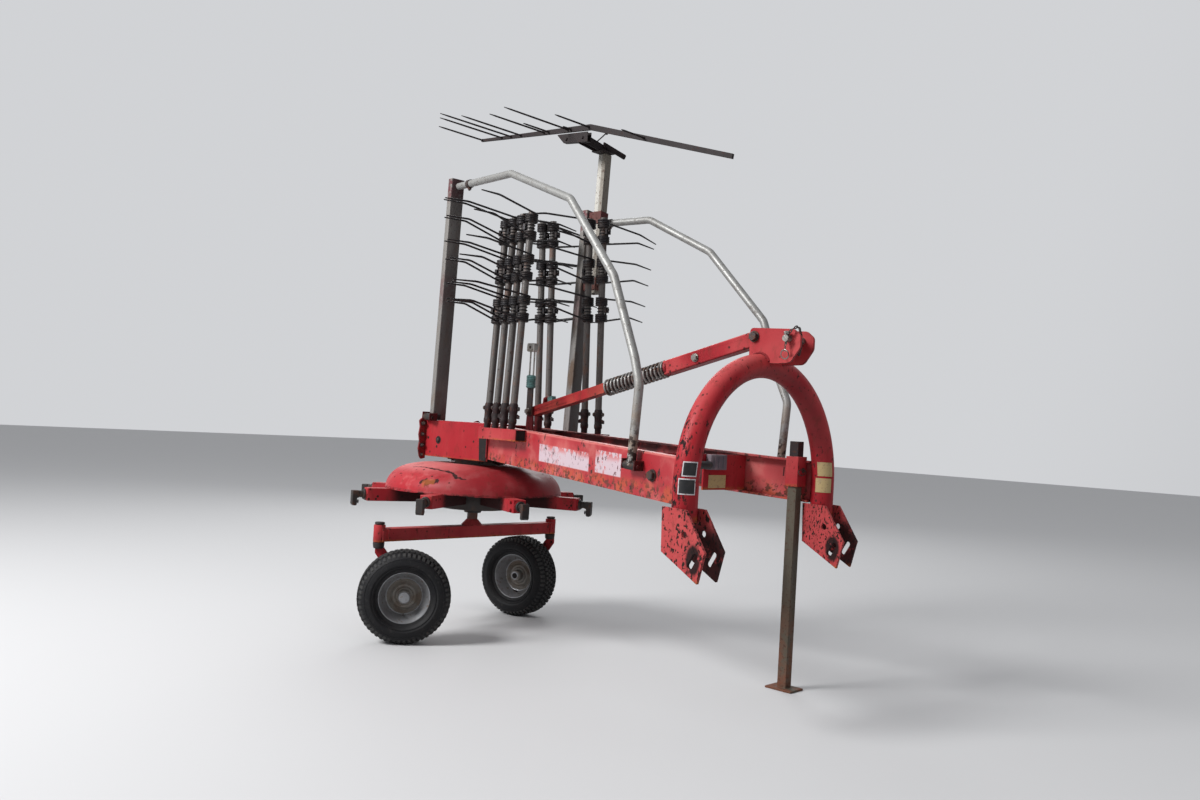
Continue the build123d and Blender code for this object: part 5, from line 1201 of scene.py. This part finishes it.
# side, sign, post foot and top, rear and front foot of the tube's plane, lean, corners, rear barrel
guard_table = [
    ("right", -1, (-0.165, 0.120, 0.977), (-0.161, 0.098, 2.155), (-0.165, 0.120, 0.985),
     (1.373, 0.404, 0.860), -1.1,
     [(-0.060, 1.132), (0.444, 1.149), (0.956, 1.001), (1.323, 0.684), (1.514, 0.385), (1.560, 0.290),
      (1.569, 0)], (-0.165, 0.172, 0.990)),
    ("left", 1, (0.350, 0.279, 0.925), (0.318, 0.351, 2.034), (0.350, 0.331, 0.950),
     (1.460, 0.420, 0.860), 4.0,
     [(-0.128, 1.028), (0.222, 1.050), (0.590, 0.902), (0.921, 0.608), (1.039, 0.370), (1.095, 0.276),
      (1.110, 0)], (0.350, 0.279, 0.913))]
for side_name, side, foot, top, tube_rear, tube_foot, lean_out, corners, barrel in guard_table:
    foot, top, tube_start, tube_end, hinge_rear = [Vector((rotor_x + x, side * y, z))
                                                   for x, y, z in (foot, top, tube_rear, tube_foot, barrel)]
    along_tube = (tube_end - tube_start).normalized()
    level_out = Vector((-side * along_tube.y, side * along_tube.x, 0)).normalized()
    rise = level_out * sin(radians(lean_out)) + Vector((0, 0, cos(radians(lean_out))))
    face = along_tube.cross(rise).normalized()
    out = face if face.dot(level_out) > 0 else -face
    tube_up = face.cross(along_tube)
    path = [tube_start + along_tube * reach + tube_up * height_up for reach, height_up in corners]
    post_way = (top - foot).normalized()
    post_out = (out - post_way * out.dot(post_way)).normalized()
    hinge_front = path[-1]
    hinge_way = (hinge_front - hinge_rear).normalized()
    fore = post_way.cross(post_out)
    fore = fore if fore.x > 0 else -fore
    work = bmesh.new()
    square_tube(work, foot, top, post_out, post_width, post_depth, post_wall, 0.006)
    for centre in (hinge_rear, hinge_front):
        turned(work, centre - hinge_way * barrel_half, hinge_way,
               [(0, hinge_hole), (0, barrel_r), (2 * barrel_half, barrel_r), (2 * barrel_half, hinge_hole)],
               28, 1, loop=True)
    lug = hinge_rear + post_way * 0.006
    lug_reach = abs((foot - hinge_rear).dot(post_out)) + 0.004
    square_tube(work, lug, lug - post_out * lug_reach, hinge_way, post_depth - 0.008, 0.020, 0.009, 0.002, 1)
    post_zinc = post_finish("post_zinc_" + side_name, foot, top.z, fore, 0.5 if side < 0 else 0.9)
    steel_piece("guard_post_" + side_name, work, [post_zinc, claw_iron], "guard_" + side_name,
                ["guard_" + side_name])
    work = bmesh.new()
    line = rounded_path(path, 0.070)
    rod(work, line, guard_tube_r, 20)
    clamp_way = (path[1] - path[0]).normalized()
    clamp_at = path[0] + clamp_way * 0.100
    clamp_r, clamp_long = guard_tube_r + 0.0035, 0.022
    turned(work, clamp_at, clamp_way,
           [(0, guard_tube_r), (0, clamp_r), (clamp_long, clamp_r), (clamp_long, guard_tube_r)], 24, 1, True)
    clamp_foot = clamp_at + clamp_way * clamp_long / 2 - Vector((0, 0, clamp_r - 0.0005))
    hex_bolt(work, clamp_foot, straight_down, 0.010, 0.004, 1)
    # The pin holes through the tube are dark discs: painted shade inside them.
    hole_at = hinge_front + (line[-2] - hinge_front).normalized() * 0.050
    for hole_out in (0.0150, -0.0172):
        turned(work, hole_at + post_out * hole_out, post_out, [(0, 0.0065), (0.0022, 0.0065)], 16, 1)
    steel_piece("guard_tube_" + side_name, work, [tube_pale, dark_bolt_and_hole_shade], "guard_" + side_name)
finish_node("guard_hinges", red_enamel("hinge_red", 1.6, None, (0.040, 0.010, 0.011), (0.080, 0.014, 0.014),
                                       chipped=1.0), 0.001)

# Swath comb: a square pole slides in two sleeves on the front of the left post and carries a flat
# bar with a row of thin rods, held in a clamp at the end of a channel.
coat = Coat("pole_zinc", (0.40, 0.385, 0.35), 0.48, 0.2)
coat.stain((7.0, 0.38, 0.62, 5.0, 0, (1, 1, 0.25)), 0.7, (0.25, 0.225, 0.19), 0.6)
# Painted shade: the front face of the pole is laid darker brown.
coat.cover((coat.along(foot, fore, 0.070, 0.078), 0.65), (0.15, 0.125, 0.095), 0.7)
coat.stain((70.0, 0.58, 0.66), 0.7, rust_dark, 0.85)
coat.relief(coat.blotches(140.0, 0.4, 0.7), 0.0003)
finish_node("swath_pole", coat.done(), 0.002)
sleeve_brown = red_enamel("pole_sleeve_brown", 1.5, None, (0.085, 0.014, 0.016), (0.15, 0.085, 0.06), 0.7)
finish_node("pole_sleeves", sleeve_brown, 0.0015)
comb_brown = worn_finish("comb_brown", ((0.013, 0.007, 0.008), 0.6), [
    ((12.0, 0.42, 0.62, 5.0), 1, (0.018, 0.013, 0.013), 0.7),
    ((50.0, 0.57, 0.68, 5.0), 0.5, (0.050, 0.022, 0.018), 0.85)], (140.0, 0.35, 0.7, 5.0, 0.0004), 0.3)
carrier_x, pole_top_z = -0.235, 2.3122
# seen from the front: the clamp under the bar. Seen from the side: the arm's side plates and the strap
clamp_outline = [(-0.398, 2.3885, 0.002), (-0.187, 2.3715, 0.002), (-0.187, 2.324, 0.006),
                 (-0.350, 2.342, 0.010)]
arm_outline = [(0.200, 2.370, 0.003), (0.200, 2.326, 0.003), (0.300, 2.3135, 0.008), (0.400, 2.3135, 0.003),
               (0.400, 2.340, 0.006), (0.340, 2.345, 0.010)]
strap_outline = [(0.330, 2.360, 0.004), (0.330, 2.334, 0.004), (0.480, 2.308, 0.006), (0.492, 2.332, 0.006)]
work = bmesh.new()
for plate_y in (0.192, 0.214):
    cut_plate(work, clamp_outline, lambda x, z: (x, plate_y, z), (0, 0.004, 0))
for outline, plate_x, thick in ((arm_outline, -0.018, 0.004), (arm_outline, 0.014, 0.004),
                                (strap_outline, 0.018, 0.005)):
    cut_plate(work, outline, lambda y, z: (carrier_x + plate_x, y, z), (thick, 0, 0))
plate(work, [(-0.352, 0.194, 2.342), (-0.188, 0.194, 2.324), (-0.188, 0.216, 2.324), (-0.352, 0.216, 2.342)],
      (0, 0, 0.005))
plate(work, [(carrier_x - 0.018, 0.205, 2.362), (carrier_x + 0.018, 0.205, 2.362),
             (carrier_x + 0.018, 0.338, 2.340), (carrier_x - 0.018, 0.338, 2.340)], (0, 0, 0.004))
slab(work, (-0.268, 0.306, pole_top_z + 0.0002), (-0.199, 0.399, pole_top_z + 0.0062))
# The holes are near-black discs: painted shade inside them.
for hole_y, hole_z in ((0.468, 2.3235), (0.430, 2.3310)):
    turned(work, (carrier_x + 0.0232, hole_y, hole_z), (1, 0, 0), [(0, 0.0055), (0.0003, 0.0055)], 14, 1)
rod(work, [(-0.078, 0.206, 2.349), (-0.150, 0.245, 2.347), (carrier_x + 0.010, 0.292, 2.352)], 0.003, 8)
for bolt_at, bolt_way, bolt_size in (((-0.070, 0.200, 2.345), straight_down, 0.007),
                                     ((-0.330, 0.1925, 2.357), (0, -1, 0), 0.008),
                                     ((-0.220, 0.1925, 2.3482), (0, -1, 0), 0.008),
                                     ((carrier_x + 0.023, 0.352, 2.340), (1, 0, 0), 0.008)):
    hex_bolt(work, bolt_at, bolt_way, bolt_size)
steel_piece("comb_arm", work, [comb_brown, painted_shade_black], "swath_comb", ["comb_carrier"])
comb_y, bar_half_tall, bar_half_thick, comb_rod = 0.200, 0.017, 0.006, 0.0046
# distance ahead of the rotor, height and taper of the bar's corners, then the place and length of each rod
comb_corners = [(-0.360, 2.455, 0.40), (0.450, 2.391, 0.80), (1.290, 2.130, 0.62)]
comb_tines = [(-0.349, 0.290), (-0.192, 0.400), (-0.119, 0.453), (-0.042, 0.385), (0.129, 0.353),
              (0.163, 0.173), (0.299, 0.408), (0.319, 0.060), (0.443, 0.228), (0.796, 0.156)]
slope = Vector((0.16, 0, 1)).normalized()
work = bmesh.new()
rings = []
for reach, height_up, taper in comb_corners:
    middle, tall = Vector((rotor_x + reach, comb_y, height_up)), slope * bar_half_tall * taper
    rings.append([middle + Vector((0, y * bar_half_thick, 0)) + tall * z
                  for y, z in ((-1, -1), (1, -1), (1, 1), (-1, 1))])
skin(work, rings)
for reach, length in comb_tines:
    (x_a, z_a, _), (x_b, z_b, _) = comb_corners[:2] if reach < comb_corners[1][0] else comb_corners[1:]
    root = Vector((rotor_x + reach, comb_y, z_a + (z_b - z_a) * (reach - x_a) / (x_b - x_a)))
    tip = root - Vector((0, length - 0.001, 0))
    rod(work, [root + Vector((0, 0.006, 0)), root.lerp(tip, 0.5), root.lerp(tip, 0.9), tip],
        [comb_rod, comb_rod, comb_rod * 0.85, comb_rod * 0.4], 8)
    hex_bolt(work, root + Vector((0, -bar_half_thick, 0)), (0, -1, 0), 0.007)
steel_piece("comb_bar_and_rods", work, [comb_brown], "swath_comb", ["swath_comb"],
            rounding=0.001)
